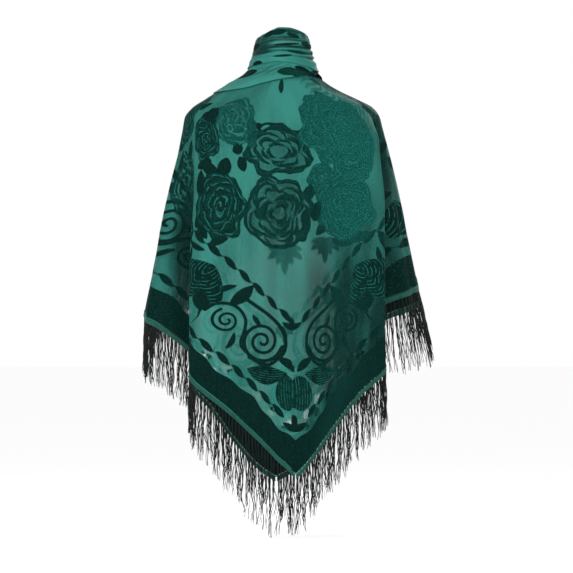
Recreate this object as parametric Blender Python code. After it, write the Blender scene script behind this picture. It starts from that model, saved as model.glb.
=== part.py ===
"""Square fringed shawl, folded corner to corner and worn round the neck and shoulders.

Metres, +Z up. The origin is on the neck's axis at the base of the neck, where the shawl is held.
The point of the folded square hangs down the back, which faces -Y. +X is on the right seen from behind.

Both layers of the folded cloth follow one surface. Level sections of it run from the tip of the left
wing, round the left arm, across the back and round the right arm to the tip of the right wing. A section
is an oval, and the course of the cloth along it says at which angle each fold lies and how far it stands
off the oval. Angles are in degrees from the middle of the back, positive to the right.
"""

import math

import bmesh
import bpy
import numpy as np

SIDE = 1.40
FOLD_HEIGHT = 0.1654  # where the folded edge would lie at the back if it weren't gathered round the neck
FRINGE_LENGTH = 0.122

# The oval at each height: how far it reaches to the left, right, back and front, and how square it is.
SECTION_COLUMNS = ("height", "left", "right", "back", "front", "power")
SECTIONS = (
    (0.094, 0.0420, 0.0410, 0.0440, 0.0420, 2.00),
    (0.080, 0.0490, 0.0470, 0.0500, 0.0480, 2.00),
    (0.060, 0.0555, 0.0525, 0.0550, 0.0530, 2.00),
    (0.040, 0.0600, 0.0575, 0.0590, 0.0570, 2.00),
    (0.020, 0.0640, 0.0620, 0.0630, 0.0610, 2.00),
    (0.004, 0.0760, 0.0700, 0.0690, 0.0660, 2.02),
    (-0.016, 0.1080, 0.0900, 0.0780, 0.0740, 2.05),
    (-0.032, 0.1340, 0.1160, 0.0860, 0.0810, 2.10),
    (-0.050, 0.1620, 0.1530, 0.0940, 0.0880, 2.15),
    (-0.068, 0.1890, 0.1850, 0.1010, 0.0950, 2.20),
    (-0.088, 0.2040, 0.1990, 0.1080, 0.1010, 2.25),
    (-0.110, 0.2080, 0.2050, 0.1130, 0.1060, 2.30),
    (-0.220, 0.2300, 0.2340, 0.1240, 0.1180, 2.35),
    (-0.315, 0.2530, 0.2540, 0.1270, 0.1240, 2.35),
    (-0.420, 0.2730, 0.2750, 0.1270, 0.1260, 2.35),
    (-0.500, 0.2885, 0.2910, 0.1250, 0.1250, 2.35),
    (-0.980, 0.3300, 0.3300, 0.1150, 0.1200, 2.35),
)

# The course of the cloth: for each guide point, its angle where the cloth lies plain and where it is
# folded, how far it stands off the oval, and the heights of the outer and inner hems.
COURSE_COLUMNS = ("plain", "folded", "off", "hem", "inner_hem")
COURSE = (
    (-224, -224, -0.002, -0.004, -0.004),
    (-212, -212, -0.002, -0.075, -0.075),
    (-196, -196, -0.002, -0.150, -0.150),
    (-178, -178, -0.002, -0.220, -0.220),
    (-158, -158, -0.001, -0.295, -0.295),
    (-136, -136, 0.000, -0.375, -0.375),
    (-113, -113, 0.000, -0.445, -0.445),
    (-93, -93, 0.000, -0.484, -0.484),
    (-76, -76, 0.000, -0.500, -0.500),
    (-64, -63, -0.002, -0.520, -0.520),
    (-56, -53, -0.020, -0.546, -0.546),
    (-50, -47, -0.036, -0.572, -0.574),
    (-45, -46.5, 0.000, -0.599, -0.606),
    (-39, -45.5, 0.036, -0.624, -0.638),
    (-31, -34, 0.027, -0.657, -0.676),
    (-20, -22, 0.014, -0.6955, -0.743),
    (-9, -9, 0.010, -0.748, -0.805),
    (5.5, 5.5, 0.010, -0.790, -0.804),
    (14, 13, 0.016, -0.7755, -0.749),
    (24, 23, 0.026, -0.718, -0.695),
    (32, 33, 0.036, -0.666, -0.6475),
    (38, 42, 0.044, -0.632, -0.613),
    (42, 49.5, 0.044, -0.606, -0.594),
    (45, 49.5, 0.022, -0.588, -0.580),
    (47, 42, 0.014, -0.570, -0.568),
    (50, 32, 0.006, -0.550, -0.556),
    (53, 24, 0.000, -0.532, -0.546),
    (56, 24, -0.020, -0.514, -0.535),
    (59, 33, -0.022, -0.495, -0.523),
    (63, 45, -0.016, -0.477, -0.509),
    (70, 60, -0.006, -0.456, -0.488),
    (80, 76, 0.000, -0.4435, -0.4745),
    (94, 94, 0.000, -0.434, -0.464),
    (114, 114, 0.003, -0.395, -0.412),
    (137, 137, 0.0075, -0.340, -0.340),
    (158, 158, 0.0085, -0.270, -0.270),
    (178, 178, 0.0085, -0.200, -0.200),
    (196, 196, 0.0085, -0.135, -0.135),
    (212, 212, 0.0085, -0.068, -0.068),
    (224, 224, 0.0085, -0.004, -0.004),
)
# Place on the course and height of each layer's corner. The outer one hangs half the square's diagonal down.
CORNER, CORNER_HEIGHT = 17.0, FOLD_HEIGHT - SIDE * math.sqrt(0.5)
INNER_CORNER, INNER_CORNER_HEIGHT = 16.5, -0.829
FOLD_ANGLE = 45  # where the course puts the edges of the back panel
PANEL_LEFT, PANEL_RIGHT = 0.184, 0.180  # those edges' distance from the middle plane
# Where the folds at the edges of the back panel begin, where the cloth there stands fully off, where it begins
# to double back, and where it is fully doubled.
LEFT_FOLD = (-0.110, -0.400, -0.130, -0.440)
RIGHT_FOLD = (-0.070, -0.140, -0.105, -0.270)

# Soft vertical folds: the angle of the crest high up and at the hem, its half width in degrees, how far it
# stands out, and the heights where it begins and is full.
SOFT_COLUMNS = ("high", "low", "width", "out", "begins", "full")
SOFT_FOLDS = (
    (-146, -128, 9, 0.011, -0.09, -0.26),
    (-112, -104, 8, -0.009, -0.12, -0.30),
    (-78, -70, 5, 0.008, -0.10, -0.24),
    (-24, -19, 6, -0.005, -0.20, -0.42),
    (-8, -8, 6, 0.006, -0.22, -0.46),
    (8, 9, 5, -0.005, -0.22, -0.44),
    (21, 22, 6, 0.005, -0.24, -0.46),
    (80, 72, 6, -0.006, -0.14, -0.30),
    (112, 106, 9, 0.010, -0.10, -0.28),
    (146, 130, 9, -0.010, -0.10, -0.26),
    (168, 152, 8, 0.008, -0.08, -0.20),
)

# Pleats of the cloth wound round the neck: height of the crest at the left, the back and the right of the
# neck, and at the front, its half width and how far it stands out.
PLEAT_COLUMNS = ("left", "back", "right", "front", "width", "out")
PLEATS = (
    (0.066, 0.082, 0.072, 0.052, 0.0050, 0.0016),
    (0.056, 0.066, 0.061, 0.044, 0.0042, 0.0024),
    (0.046, 0.053, 0.047, 0.036, 0.0030, 0.0024),
    (0.036, 0.043, 0.036, 0.028, 0.0030, 0.0028),
    (0.026, 0.033, 0.024, 0.018, 0.0030, 0.0026),
)
PLEATS_FROM, PLEATS_TO = -40, -12  # the pleats fade out between these angles, left of the middle of the back
PLEATS_LEFT = 0.35  # their share of depth there

# Heights of the edges of the wound cloth, all round: the rim, the lower edge of the pleated turn round the
# neck, and the lower edge of the turn over the shoulders.
EDGE_COLUMNS = ("angle", "rim", "neck", "shoulder")
EDGES = (
    (-180, 0.0600, 0.0060, -0.0340),
    (-130, 0.0625, 0.0080, -0.0375),
    (-84, 0.0700, 0.0150, -0.0365),
    (-49, 0.0800, 0.0200, -0.0310),
    (-36, 0.0850, 0.0225, -0.0270),
    (-25, 0.0890, 0.0245, -0.0200),
    (-10, 0.0930, 0.0265, -0.0120),
    (15, 0.0925, 0.0240, -0.0050),
    (46, 0.0870, 0.0165, 0.0015),
    (75, 0.0790, 0.0070, 0.0000),
    (100, 0.0720, 0.0060, -0.0060),
    (130, 0.0660, 0.0060, -0.0180),
    (180, 0.0600, 0.0060, -0.0340),
)

TOP_OF_LAYERS = 0.014
TOP_INSET, INSET_ENDS = 0.0110, -0.018  # the layers pass inside the wound cloth above this height
RIM_TURN, RIM_INSIDE = 0.0035, 0.020
WRAP_OFF = 0.0042
FRONT_OFF = 0.0095  # how much farther out the wound cloth lies over the crossed fronts
UNDER = 0.012  # how far the turn over the shoulders reaches up under the pleated one

OUTER_WALL = 0.0016
LAYER_GAP = 0.0022
INNER_WALL = 0.0014
WRAP_WALL = 0.0018
SEAM = 0.0005
BRAID_HEIGHT, BRAID_WALL = 0.0085, 0.0022

COLUMNS_PER_GUIDE = 2
LAYER_ROWS = 13
SHOULDER_ROW, SHOULDER_DROP = 5, 0.092
SHARED_ROWS = 0.7
WRAP_COLUMNS, NECK_ROWS, INSIDE_ROWS, SHOULDER_ROWS = 36, 19, 3, 7
OUTER_STRANDS, INNER_STRANDS = 60, 36
STRAND_ROOT, STRAND_TIP = 0.0032, 0.0012
LEAN = 0.10  # how much of the cloth's slope the strands follow at the back and the left

CLOTH_COLOUR, CLOTH_ROUGHNESS = (0.03, 0.19, 0.155), 0.6
YARN_COLOUR, YARN_ROUGHNESS = (0.008, 0.045, 0.038), 0.5


def column(rows, columns, name):
    return np.array([row[columns.index(name)] for row in rows], float)


def smooth(at, places, values):
    """A smooth curve through the values, level past both ends. Places rise."""
    at = np.clip(np.asarray(at, float), places[0], places[-1])
    steps = np.diff(values) / np.diff(places)
    slopes = np.zeros(len(values))
    rising = steps[:-1] * steps[1:] > 0
    inner = np.zeros(len(steps) - 1)
    inner[rising] = 2 * steps[:-1][rising] * steps[1:][rising] / (steps[:-1] + steps[1:])[rising]
    slopes[1:-1] = inner
    slopes[0], slopes[-1] = steps[0], steps[-1]
    i = np.clip(np.searchsorted(places, at, side="right") - 1, 0, len(places) - 2)
    width = places[i + 1] - places[i]
    s = (at - places[i]) / width
    return (
        values[i] * (1 + 2 * s) * (1 - s) ** 2
        + values[i + 1] * s * s * (3 - 2 * s)
        + slopes[i] * width * s * (1 - s) ** 2
        - slopes[i + 1] * width * s * s * (1 - s)
    )


def ease(s):
    s = np.clip(s, 0.0, 1.0)
    return s * s * (3 - 2 * s)


def section(name, z):
    heights = column(SECTIONS, SECTION_COLUMNS, "height")[::-1]
    return smooth(z, heights, column(SECTIONS, SECTION_COLUMNS, name)[::-1])


def oval(angle, z):
    """Points of the level section, and its outward normals."""
    turn = np.radians(angle)
    sine, cosine = np.sin(turn), np.cos(turn)
    power = 2 / section("power", z)
    across = np.where(sine < 0, section("left", z), section("right", z))
    along = np.where(cosine > 0, section("back", z), section("front", z))
    point = np.stack(
        [np.sign(sine) * across * np.abs(sine) ** power, -np.sign(cosine) * along * np.abs(cosine) ** power, z],
        axis=-1,
    )
    normal = np.stack([sine / across, -cosine / along, np.zeros_like(z)], axis=-1)
    return point, normal / np.linalg.norm(normal, axis=-1, keepdims=True)


def fold_angle(z, side):
    """The angle at which the oval is as wide as the back panel's edge."""
    edge = PANEL_LEFT if side == "left" else PANEL_RIGHT
    share = np.minimum(edge / section(side, z), 0.90)
    return np.degrees(np.arcsin(share ** (section("power", z) / 2)))


def fitted(angle, z):
    """Moves an angle of the course so that FOLD_ANGLE comes to the panel's edge at that height."""
    edge = np.where(angle < 0, fold_angle(z, "left"), fold_angle(z, "right"))
    size = np.abs(angle)
    inside = size * edge / FOLD_ANGLE
    outside = edge + (size - FOLD_ANGLE) * (90 - edge) / (90 - FOLD_ANGLE)
    return np.sign(angle) * np.where(size < FOLD_ANGLE, inside, np.where(size < 90, outside, size))


def spline_weights(s):
    return np.stack(
        [(1 - s) ** 3, 3 * s**3 - 6 * s**2 + 4, -3 * s**3 + 3 * s**2 + 3 * s + 1, s**3], axis=-1
    ) / 6


def course(guide, z):
    """(angle, stand-off) of the cloth at a place of the course, which counts guide points, and a height."""
    names = ("plain", "folded", "off")
    plain, folded, off = (column(COURSE, COURSE_COLUMNS, name) for name in names)
    start = np.clip(np.floor(guide).astype(int), 1, len(COURSE) - 3)
    weights = spline_weights(guide - start)
    angle, stand_off = np.zeros_like(z), np.zeros_like(z)
    for k in range(4):
        i = start + k - 1
        stations = np.where((i < CORNER)[..., None], LEFT_FOLD, RIGHT_FOLD)
        begins, stands, doubles, full = np.moveaxis(stations, -1, 0)
        lifted, share = ease((begins - z) / (begins - stands)), ease((doubles - z) / (doubles - full))
        here = fitted(plain[i] + share * (folded[i] - plain[i]), z)
        behind = np.abs(here) < 100
        angle = angle + weights[..., k] * here
        stand_off = stand_off + weights[..., k] * off[i] * np.where(behind, lifted, 1.0)
    return angle, stand_off


def soft_folds(angle, z):
    out = np.zeros_like(z)
    for high, low, width, height, begins, full in SOFT_FOLDS:
        down = ease((begins - z) / (begins - full))
        crest = high + (low - high) * ease((begins - z) / 0.5)
        out = out + height * down * np.exp(-(((angle - crest) / width) ** 2))
    return out


def surface(guide, z):
    angle, stand_off = course(guide, z)
    point, normal = oval(angle, z)
    inset = TOP_INSET * ease((z - INSET_ENDS) / (TOP_OF_LAYERS - INSET_ENDS))
    out = stand_off + soft_folds(angle, z) - inset
    return point + normal * out[..., None]


def normals(shape, first, second, step_first=0.01, step_second=0.001):
    """Unit normals of a surface given as a function of two coordinates."""
    across = shape(first + step_first, second) - shape(first - step_first, second)
    along = shape(first, second + step_second) - shape(first, second - step_second)
    normal = np.cross(across, along)
    return normal / np.linalg.norm(normal, axis=-1, keepdims=True)


def hem_curve(guide, name, corner, corner_height):
    """The height of a hem. It comes to a corner at the point of the shawl."""
    heights = column(COURSE, COURSE_COLUMNS, name)
    places = np.arange(len(heights), dtype=float)
    before, after = places < corner, places > corner
    left = smooth(guide, np.append(places[before], corner), np.append(heights[before], corner_height))
    right = smooth(guide, np.append(corner, places[after]), np.append(corner_height, heights[after]))
    return np.where(guide < corner, left, right)


def outer_hem(guide):
    return hem_curve(guide, "hem", CORNER, CORNER_HEIGHT)


def inner_hem(guide):
    return hem_curve(guide, "inner_hem", INNER_CORNER, INNER_CORNER_HEIGHT)


def material(name, colour, roughness):
    made = bpy.data.materials.new(name)
    made.use_nodes = True
    shader = made.node_tree.nodes["Principled BSDF"]
    shader.inputs["Base Color"].default_value = (*colour, 1)
    shader.inputs["Roughness"].default_value = roughness
    shader.inputs["Metallic"].default_value = 0
    return made


def add_object(name, points, faces, colour, roughness):
    mesh = bpy.data.meshes.new(name)
    mesh.from_pydata([tuple(p) for p in points], [], faces)
    mesh.materials.append(material(name, colour, roughness))
    mesh.shade_smooth()
    mesh.set_sharp_from_angle(angle=math.radians(50))
    made = bpy.data.objects.new(name, mesh)
    bpy.context.scene.collection.objects.link(made)
    return made


def wall_faces(columns, rows, ring):
    """Triangles of a wall whose outer points come first, row by row in each column, then its inner ones."""
    count = columns * rows
    faces = []

    def add(a, b, c, d):
        faces.extend(((a, b, c), (a, c, d)))

    for i in range(columns if ring else columns - 1):
        here, there = i * rows, (i + 1) % columns * rows
        for j in range(rows - 1):
            a, b, c, d = here + j, here + j + 1, there + j + 1, there + j
            add(a, b, c, d)
            add(count + a, count + d, count + c, count + b)
        add(here, there, count + there, count + here)
        low, next_low = here + rows - 1, there + rows - 1
        add(low, count + low, count + next_low, next_low)
    if not ring:
        last = (columns - 1) * rows
        for j in range(rows - 1):
            add(j, count + j, count + j + 1, j + 1)
            add(last + j, last + j + 1, count + last + j + 1, count + last + j)
    return faces


def wall(name, outer, inner, ring=False):
    columns, rows = outer.shape[:2]
    points = np.concatenate([outer.reshape(-1, 3), inner.reshape(-1, 3)])
    return add_object(name, points, wall_faces(columns, rows, ring), CLOTH_COLOUR, CLOTH_ROUGHNESS)


def layer_columns():
    """Places of the columns: closer together in the folds at the edges of the back panel."""
    spans = len(COURSE) - 3
    return 1 + np.linspace(0, spans, spans * COLUMNS_PER_GUIDE + 1)


def layer_grid(hem_of):
    guide = layer_columns()
    rows = np.linspace(0, 1, LAYER_ROWS)
    hem = outer_hem(guide)[:, None]
    drop = TOP_OF_LAYERS - hem
    # Rows lie closer together above the shoulders, so that a set one comes to their height in each column.
    power = np.maximum(np.log(SHOULDER_DROP / drop) / np.log(rows[SHOULDER_ROW]), 0.8)
    z = TOP_OF_LAYERS - drop * rows[None, :] ** power
    # Both layers share their upper rows, and the lower ones move to each layer's own hem.
    low = np.clip((rows - SHARED_ROWS) / (1 - SHARED_ROWS), 0, 1) ** 2
    z = z + (hem_of(guide)[:, None] - hem) * low[None, :]
    return np.broadcast_to(guide[:, None], z.shape), z


def layer(name, hem_of, off, thickness):
    guide, z = layer_grid(hem_of)
    points, out = surface(guide, z), normals(surface, guide, z)
    outer = points + out * off
    inner = points + out * (off - thickness)
    wall(name, outer, inner)
    return outer, inner


def edge(name, angle):
    angles = column(EDGES, EDGE_COLUMNS, "angle")
    return smooth((np.asarray(angle, float) + 180) % 360 - 180, angles, column(EDGES, EDGE_COLUMNS, name))


def wrap_base(angle, z):
    """Points just outside the crossed fronts and the layers, and the outward normals of the oval."""
    point, normal = oval(angle, z)
    off = WRAP_OFF + FRONT_OFF * ease((np.abs(angle) - 105) / 45)
    return point + normal * off[..., None], normal


def pleated(angle, z):
    """The outside of the pleated turn round the neck."""
    point, normal = wrap_base(angle, z)
    turn = np.radians(angle)
    depth = PLEATS_LEFT + (1 - PLEATS_LEFT) * ease((angle - PLEATS_FROM) / (PLEATS_TO - PLEATS_FROM))
    depth = np.where(np.abs(angle) > 90, 1 - (1 - depth) * ease((150 + angle) / 60), depth)
    out = np.zeros_like(z)
    for left, back, right, front, width, height in PLEATS:
        side = np.where(np.sin(turn) < 0, left, right)
        end = np.where(np.cos(turn) > 0, back, front)
        crest = side * np.sin(turn) ** 2 + end * np.cos(turn) ** 2
        out = out + height * depth * np.exp(-(((z - crest) / width) ** 2))
    over = 0.0030 * ease((edge("neck", angle) + 2 * UNDER - z) / UNDER)
    return point + normal * (out + over)[..., None]


def over_shoulders(angle, z):
    """The outside of the turn over the shoulders, which passes up inside the pleated turn."""
    point, normal = wrap_base(angle, z)
    inside = 0.0016 * ease((z - edge("neck", angle)) / UNDER)
    return point - normal * inside[..., None]


def wrap_grid(top, bottom, rows):
    angle = np.linspace(-180, 180, WRAP_COLUMNS + 1)[:-1]
    share = np.linspace(0, 1, rows)
    z = top(angle)[:, None] + (bottom(angle) - top(angle))[:, None] * share[None, :]
    return np.broadcast_to(angle[:, None], z.shape), z


def neck_wrap():
    angles, z = wrap_grid(lambda a: edge("rim", a), lambda a: edge("neck", a), NECK_ROWS)
    outside = pleated(angles, z)
    inside = outside - normals(pleated, angles, z, step_first=0.5) * WRAP_WALL
    # The cloth turns over at the rim and runs a little way down inside.
    angle, rim = angles[:, 0], z[:, 0]
    top, out = wrap_base(angle, rim)
    lift = np.array([0, 0, 1.0])
    turned, lining = [], []
    for k in range(INSIDE_ROWS - 1, -1, -1):
        drop = lift * RIM_INSIDE * k / (INSIDE_ROWS - 1)
        lining.append(top - drop - out * (WRAP_WALL + RIM_TURN))
        turned.append(top - drop - out * (2 * WRAP_WALL + RIM_TURN))
    lining.append(top - out * (WRAP_WALL + RIM_TURN / 2) + lift * RIM_TURN)
    turned.append(top - out * (WRAP_WALL + RIM_TURN / 2) + lift * (RIM_TURN + WRAP_WALL))
    outer = np.concatenate([np.stack(turned, axis=1), outside], axis=1)
    inner = np.concatenate([np.stack(lining, axis=1), inside], axis=1)
    wall("neck_wrap", outer, inner, ring=True)


def shoulder_wrap():
    angles, z = wrap_grid(lambda a: edge("neck", a) + UNDER, lambda a: edge("shoulder", a), SHOULDER_ROWS)
    outside = over_shoulders(angles, z)
    inside = outside - normals(over_shoulders, angles, z, step_first=0.5) * WRAP_WALL
    wall("shoulder_wrap", outside, inside, ring=True)


def along_hem(points, guide, at):
    """Points between the columns of a layer, on the straight lines that join them."""
    return np.stack([np.interp(at, guide, points[:, k]) for k in range(3)], axis=-1)


def fringe(name, outer, inner, strands, ends):
    """A woven braid just below a layer's hem, and the strands that hang from it, as one solid."""
    guide = layer_columns()
    face, back = outer[:, -1], inner[:, -1]
    length = np.concatenate([[0], np.cumsum(np.linalg.norm(np.diff(face, axis=0), axis=1))])
    first, last = np.interp(ends, guide, length)
    middles = np.linspace(first, last, strands + 2)[1:-1]
    stations = [(first, False), (last, False)]
    for middle in middles:
        stations.extend(((middle - STRAND_ROOT / 2, True), (middle + STRAND_ROOT / 2, False)))
    for place in length:
        clear = np.abs(middles - place).min() > STRAND_ROOT / 2 + 0.0015
        if clear and first + 0.004 < place < last - 0.004:
            stations.append((place, False))
    stations.sort()
    at = np.interp([place for place, _ in stations], length, guide)
    front, rear = along_hem(face, guide, at), along_hem(back, guide, at)
    out = front - rear
    thick = np.linalg.norm(out, axis=1, keepdims=True)
    spare = out / thick * (BRAID_WALL - thick) / 2
    down = along_hem(outer[:, -1] - outer[:, -2], guide, at)
    down = down / -down[:, 2:3]
    top, bottom = down * SEAM * 1.5, down * (SEAM * 1.5 + BRAID_HEIGHT)
    rings = (front + spare + top, rear - spare + top, rear - spare + bottom, front + spare + bottom)
    points = list(np.stack(rings, axis=1).reshape(-1, 3))
    end = len(points) - 4
    faces = [(3, 2, 1, 0), (end, end + 1, end + 2, end + 3)]
    for i in range(len(stations) - 1):
        a, b = 4 * i, 4 * i + 4
        for k in range(4):
            n = (k + 1) % 4
            if k != 2 or not stations[i][1]:
                faces.append((a + k, a + n, b + n, b + k))
        if stations[i][1]:
            root = [a + 2, a + 3, b + 3, b + 2]
            corners = np.array([points[k] for k in root])
            centre = corners.mean(axis=0)
            follow = max(ease((centre[0] - 0.12) / 0.10), ease((centre[1] - 0.02) / 0.05))
            lean = LEAN + (1 - LEAN) * follow
            hang = down[i] * np.array([lean, lean, 1])
            length_here = FRINGE_LENGTH * (1 + 0.035 * math.sin(2.3 * i))
            spread = (corners - centre) * STRAND_TIP / STRAND_ROOT
            spread[:, 2] = 0
            tip = len(points)
            points.extend(centre + hang * length_here + spread)
            for k in range(4):
                n = (k + 1) % 4
                faces.append((root[k], root[n], tip + n, tip + k))
            faces.append((tip, tip + 1, tip + 2, tip + 3))
    solid = add_object(name, points, faces, YARN_COLOUR, YARN_ROUGHNESS)
    shape = bmesh.new()
    shape.from_mesh(solid.data)
    bmesh.ops.recalc_face_normals(shape, faces=shape.faces)
    shape.to_mesh(solid.data)
    shape.free()


def build():
    for old in list(bpy.data.objects):
        bpy.data.objects.remove(old)
    outer = layer("outer_layer", outer_hem, 0.0, OUTER_WALL)
    inner = layer("inner_layer", inner_hem, -(OUTER_WALL + LAYER_GAP), INNER_WALL)
    neck_wrap()
    shoulder_wrap()
    start, end, gap = 3.0, len(COURSE) - 3.2, 0.02
    fringe("fringe_outer_left", *outer, OUTER_STRANDS, (start, CORNER - gap))
    fringe("fringe_outer_right", *outer, OUTER_STRANDS, (CORNER + gap, end))
    fringe("fringe_inner_left", *inner, INNER_STRANDS, (start, INNER_CORNER - gap))
    fringe("fringe_inner_right", *inner, INNER_STRANDS, (INNER_CORNER + gap, end))


build()
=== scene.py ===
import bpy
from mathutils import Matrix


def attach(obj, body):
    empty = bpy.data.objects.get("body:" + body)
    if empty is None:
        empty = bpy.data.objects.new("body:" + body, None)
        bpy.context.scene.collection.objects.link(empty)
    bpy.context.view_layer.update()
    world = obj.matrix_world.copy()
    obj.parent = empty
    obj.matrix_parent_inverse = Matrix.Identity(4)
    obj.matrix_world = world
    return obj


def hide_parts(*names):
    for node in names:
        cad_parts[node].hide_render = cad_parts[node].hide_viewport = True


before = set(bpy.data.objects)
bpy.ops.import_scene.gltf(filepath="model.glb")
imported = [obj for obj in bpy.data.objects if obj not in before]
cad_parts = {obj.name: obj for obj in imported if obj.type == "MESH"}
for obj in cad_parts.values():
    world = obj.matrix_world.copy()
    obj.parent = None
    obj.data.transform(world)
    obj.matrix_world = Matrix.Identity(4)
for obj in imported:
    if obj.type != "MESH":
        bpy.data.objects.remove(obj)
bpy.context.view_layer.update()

# Square fringed shawl, seen from behind. The first part repeats the tables and formulas of the part's source.
# Metres, +Z up. The back faces -Y, and +X is on the right seen from behind.
import math

import bpy
import numpy as np
from mathutils import Vector

SIDE = 1.40
FOLD_HEIGHT = 0.1654  # where the folded edge would lie at the back if it weren't gathered round the neck
FRINGE_LENGTH = 0.122

# The oval at each height: how far it reaches to the left, right, back and front, and how square it is.
SECTION_COLUMNS = ("height", "left", "right", "back", "front", "power")
SECTIONS = (
    (0.094, 0.0420, 0.0410, 0.0440, 0.0420, 2.00),
    (0.080, 0.0490, 0.0470, 0.0500, 0.0480, 2.00),
    (0.060, 0.0555, 0.0525, 0.0550, 0.0530, 2.00),
    (0.040, 0.0600, 0.0575, 0.0590, 0.0570, 2.00),
    (0.020, 0.0640, 0.0620, 0.0630, 0.0610, 2.00),
    (0.004, 0.0760, 0.0700, 0.0690, 0.0660, 2.02),
    (-0.016, 0.1080, 0.0900, 0.0780, 0.0740, 2.05),
    (-0.032, 0.1340, 0.1160, 0.0860, 0.0810, 2.10),
    (-0.050, 0.1620, 0.1530, 0.0940, 0.0880, 2.15),
    (-0.068, 0.1890, 0.1850, 0.1010, 0.0950, 2.20),
    (-0.088, 0.2040, 0.1990, 0.1080, 0.1010, 2.25),
    (-0.110, 0.2080, 0.2050, 0.1130, 0.1060, 2.30),
    (-0.220, 0.2300, 0.2340, 0.1240, 0.1180, 2.35),
    (-0.315, 0.2530, 0.2540, 0.1270, 0.1240, 2.35),
    (-0.420, 0.2730, 0.2750, 0.1270, 0.1260, 2.35),
    (-0.500, 0.2885, 0.2910, 0.1250, 0.1250, 2.35),
    (-0.980, 0.3300, 0.3300, 0.1150, 0.1200, 2.35),
)

# The course of the cloth: for each guide point, its angle where the cloth lies plain and where it is
# folded, how far it stands off the oval, and the heights of the outer and inner hems.
COURSE_COLUMNS = ("plain", "folded", "off", "hem", "inner_hem")
COURSE = (
    (-224, -224, -0.002, -0.004, -0.004),
    (-212, -212, -0.002, -0.075, -0.075),
    (-196, -196, -0.002, -0.150, -0.150),
    (-178, -178, -0.002, -0.220, -0.220),
    (-158, -158, -0.001, -0.295, -0.295),
    (-136, -136, 0.000, -0.375, -0.375),
    (-113, -113, 0.000, -0.445, -0.445),
    (-93, -93, 0.000, -0.484, -0.484),
    (-76, -76, 0.000, -0.500, -0.500),
    (-64, -63, -0.002, -0.520, -0.520),
    (-56, -53, -0.020, -0.546, -0.546),
    (-50, -47, -0.036, -0.572, -0.574),
    (-45, -46.5, 0.000, -0.599, -0.606),
    (-39, -45.5, 0.036, -0.624, -0.638),
    (-31, -34, 0.027, -0.657, -0.676),
    (-20, -22, 0.014, -0.6955, -0.743),
    (-9, -9, 0.010, -0.748, -0.805),
    (5.5, 5.5, 0.010, -0.790, -0.804),
    (14, 13, 0.016, -0.7755, -0.749),
    (24, 23, 0.026, -0.718, -0.695),
    (32, 33, 0.036, -0.666, -0.6475),
    (38, 42, 0.044, -0.632, -0.613),
    (42, 49.5, 0.044, -0.606, -0.594),
    (45, 49.5, 0.022, -0.588, -0.580),
    (47, 42, 0.014, -0.570, -0.568),
    (50, 32, 0.006, -0.550, -0.556),
    (53, 24, 0.000, -0.532, -0.546),
    (56, 24, -0.020, -0.514, -0.535),
    (59, 33, -0.022, -0.495, -0.523),
    (63, 45, -0.016, -0.477, -0.509),
    (70, 60, -0.006, -0.456, -0.488),
    (80, 76, 0.000, -0.4435, -0.4745),
    (94, 94, 0.000, -0.434, -0.464),
    (114, 114, 0.003, -0.395, -0.412),
    (137, 137, 0.0075, -0.340, -0.340),
    (158, 158, 0.0085, -0.270, -0.270),
    (178, 178, 0.0085, -0.200, -0.200),
    (196, 196, 0.0085, -0.135, -0.135),
    (212, 212, 0.0085, -0.068, -0.068),
    (224, 224, 0.0085, -0.004, -0.004),
)
# Place on the course and height of each layer's corner. The outer one hangs half the square's diagonal down.
CORNER, CORNER_HEIGHT = 17.0, FOLD_HEIGHT - SIDE * math.sqrt(0.5)
INNER_CORNER, INNER_CORNER_HEIGHT = 16.5, -0.829
FOLD_ANGLE = 45  # where the course puts the edges of the back panel
PANEL_LEFT, PANEL_RIGHT = 0.184, 0.180  # those edges' distance from the middle plane
# Where the folds at the edges of the back panel begin, where the cloth there stands fully off, where it begins
# to double back, and where it is fully doubled.
LEFT_FOLD = (-0.110, -0.400, -0.130, -0.440)
RIGHT_FOLD = (-0.070, -0.140, -0.105, -0.270)

# Soft vertical folds: the angle of the crest high up and at the hem, its half width in degrees, how far it
# stands out, and the heights where it begins and is full.
SOFT_FOLDS = (
    (-146, -128, 9, 0.011, -0.09, -0.26),
    (-112, -104, 8, -0.009, -0.12, -0.30),
    (-78, -70, 5, 0.008, -0.10, -0.24),
    (-24, -19, 6, -0.005, -0.20, -0.42),
    (-8, -8, 6, 0.006, -0.22, -0.46),
    (8, 9, 5, -0.005, -0.22, -0.44),
    (21, 22, 6, 0.005, -0.24, -0.46),
    (80, 72, 6, -0.006, -0.14, -0.30),
    (112, 106, 9, 0.010, -0.10, -0.28),
    (146, 130, 9, -0.010, -0.10, -0.26),
    (168, 152, 8, 0.008, -0.08, -0.20),
)

# Pleats of the cloth wound round the neck: height of the crest at the left, the back and the right of the
# neck, and at the front, its half width and how far it stands out.
PLEATS = (
    (0.066, 0.082, 0.072, 0.052, 0.0050, 0.0016),
    (0.056, 0.066, 0.061, 0.044, 0.0042, 0.0024),
    (0.046, 0.053, 0.047, 0.036, 0.0030, 0.0024),
    (0.036, 0.043, 0.036, 0.028, 0.0030, 0.0028),
    (0.026, 0.033, 0.024, 0.018, 0.0030, 0.0026),
)
PLEATS_FROM, PLEATS_TO = -40, -12  # the pleats fade out between these angles, left of the middle of the back
PLEATS_LEFT = 0.35  # their share of depth there

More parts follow.
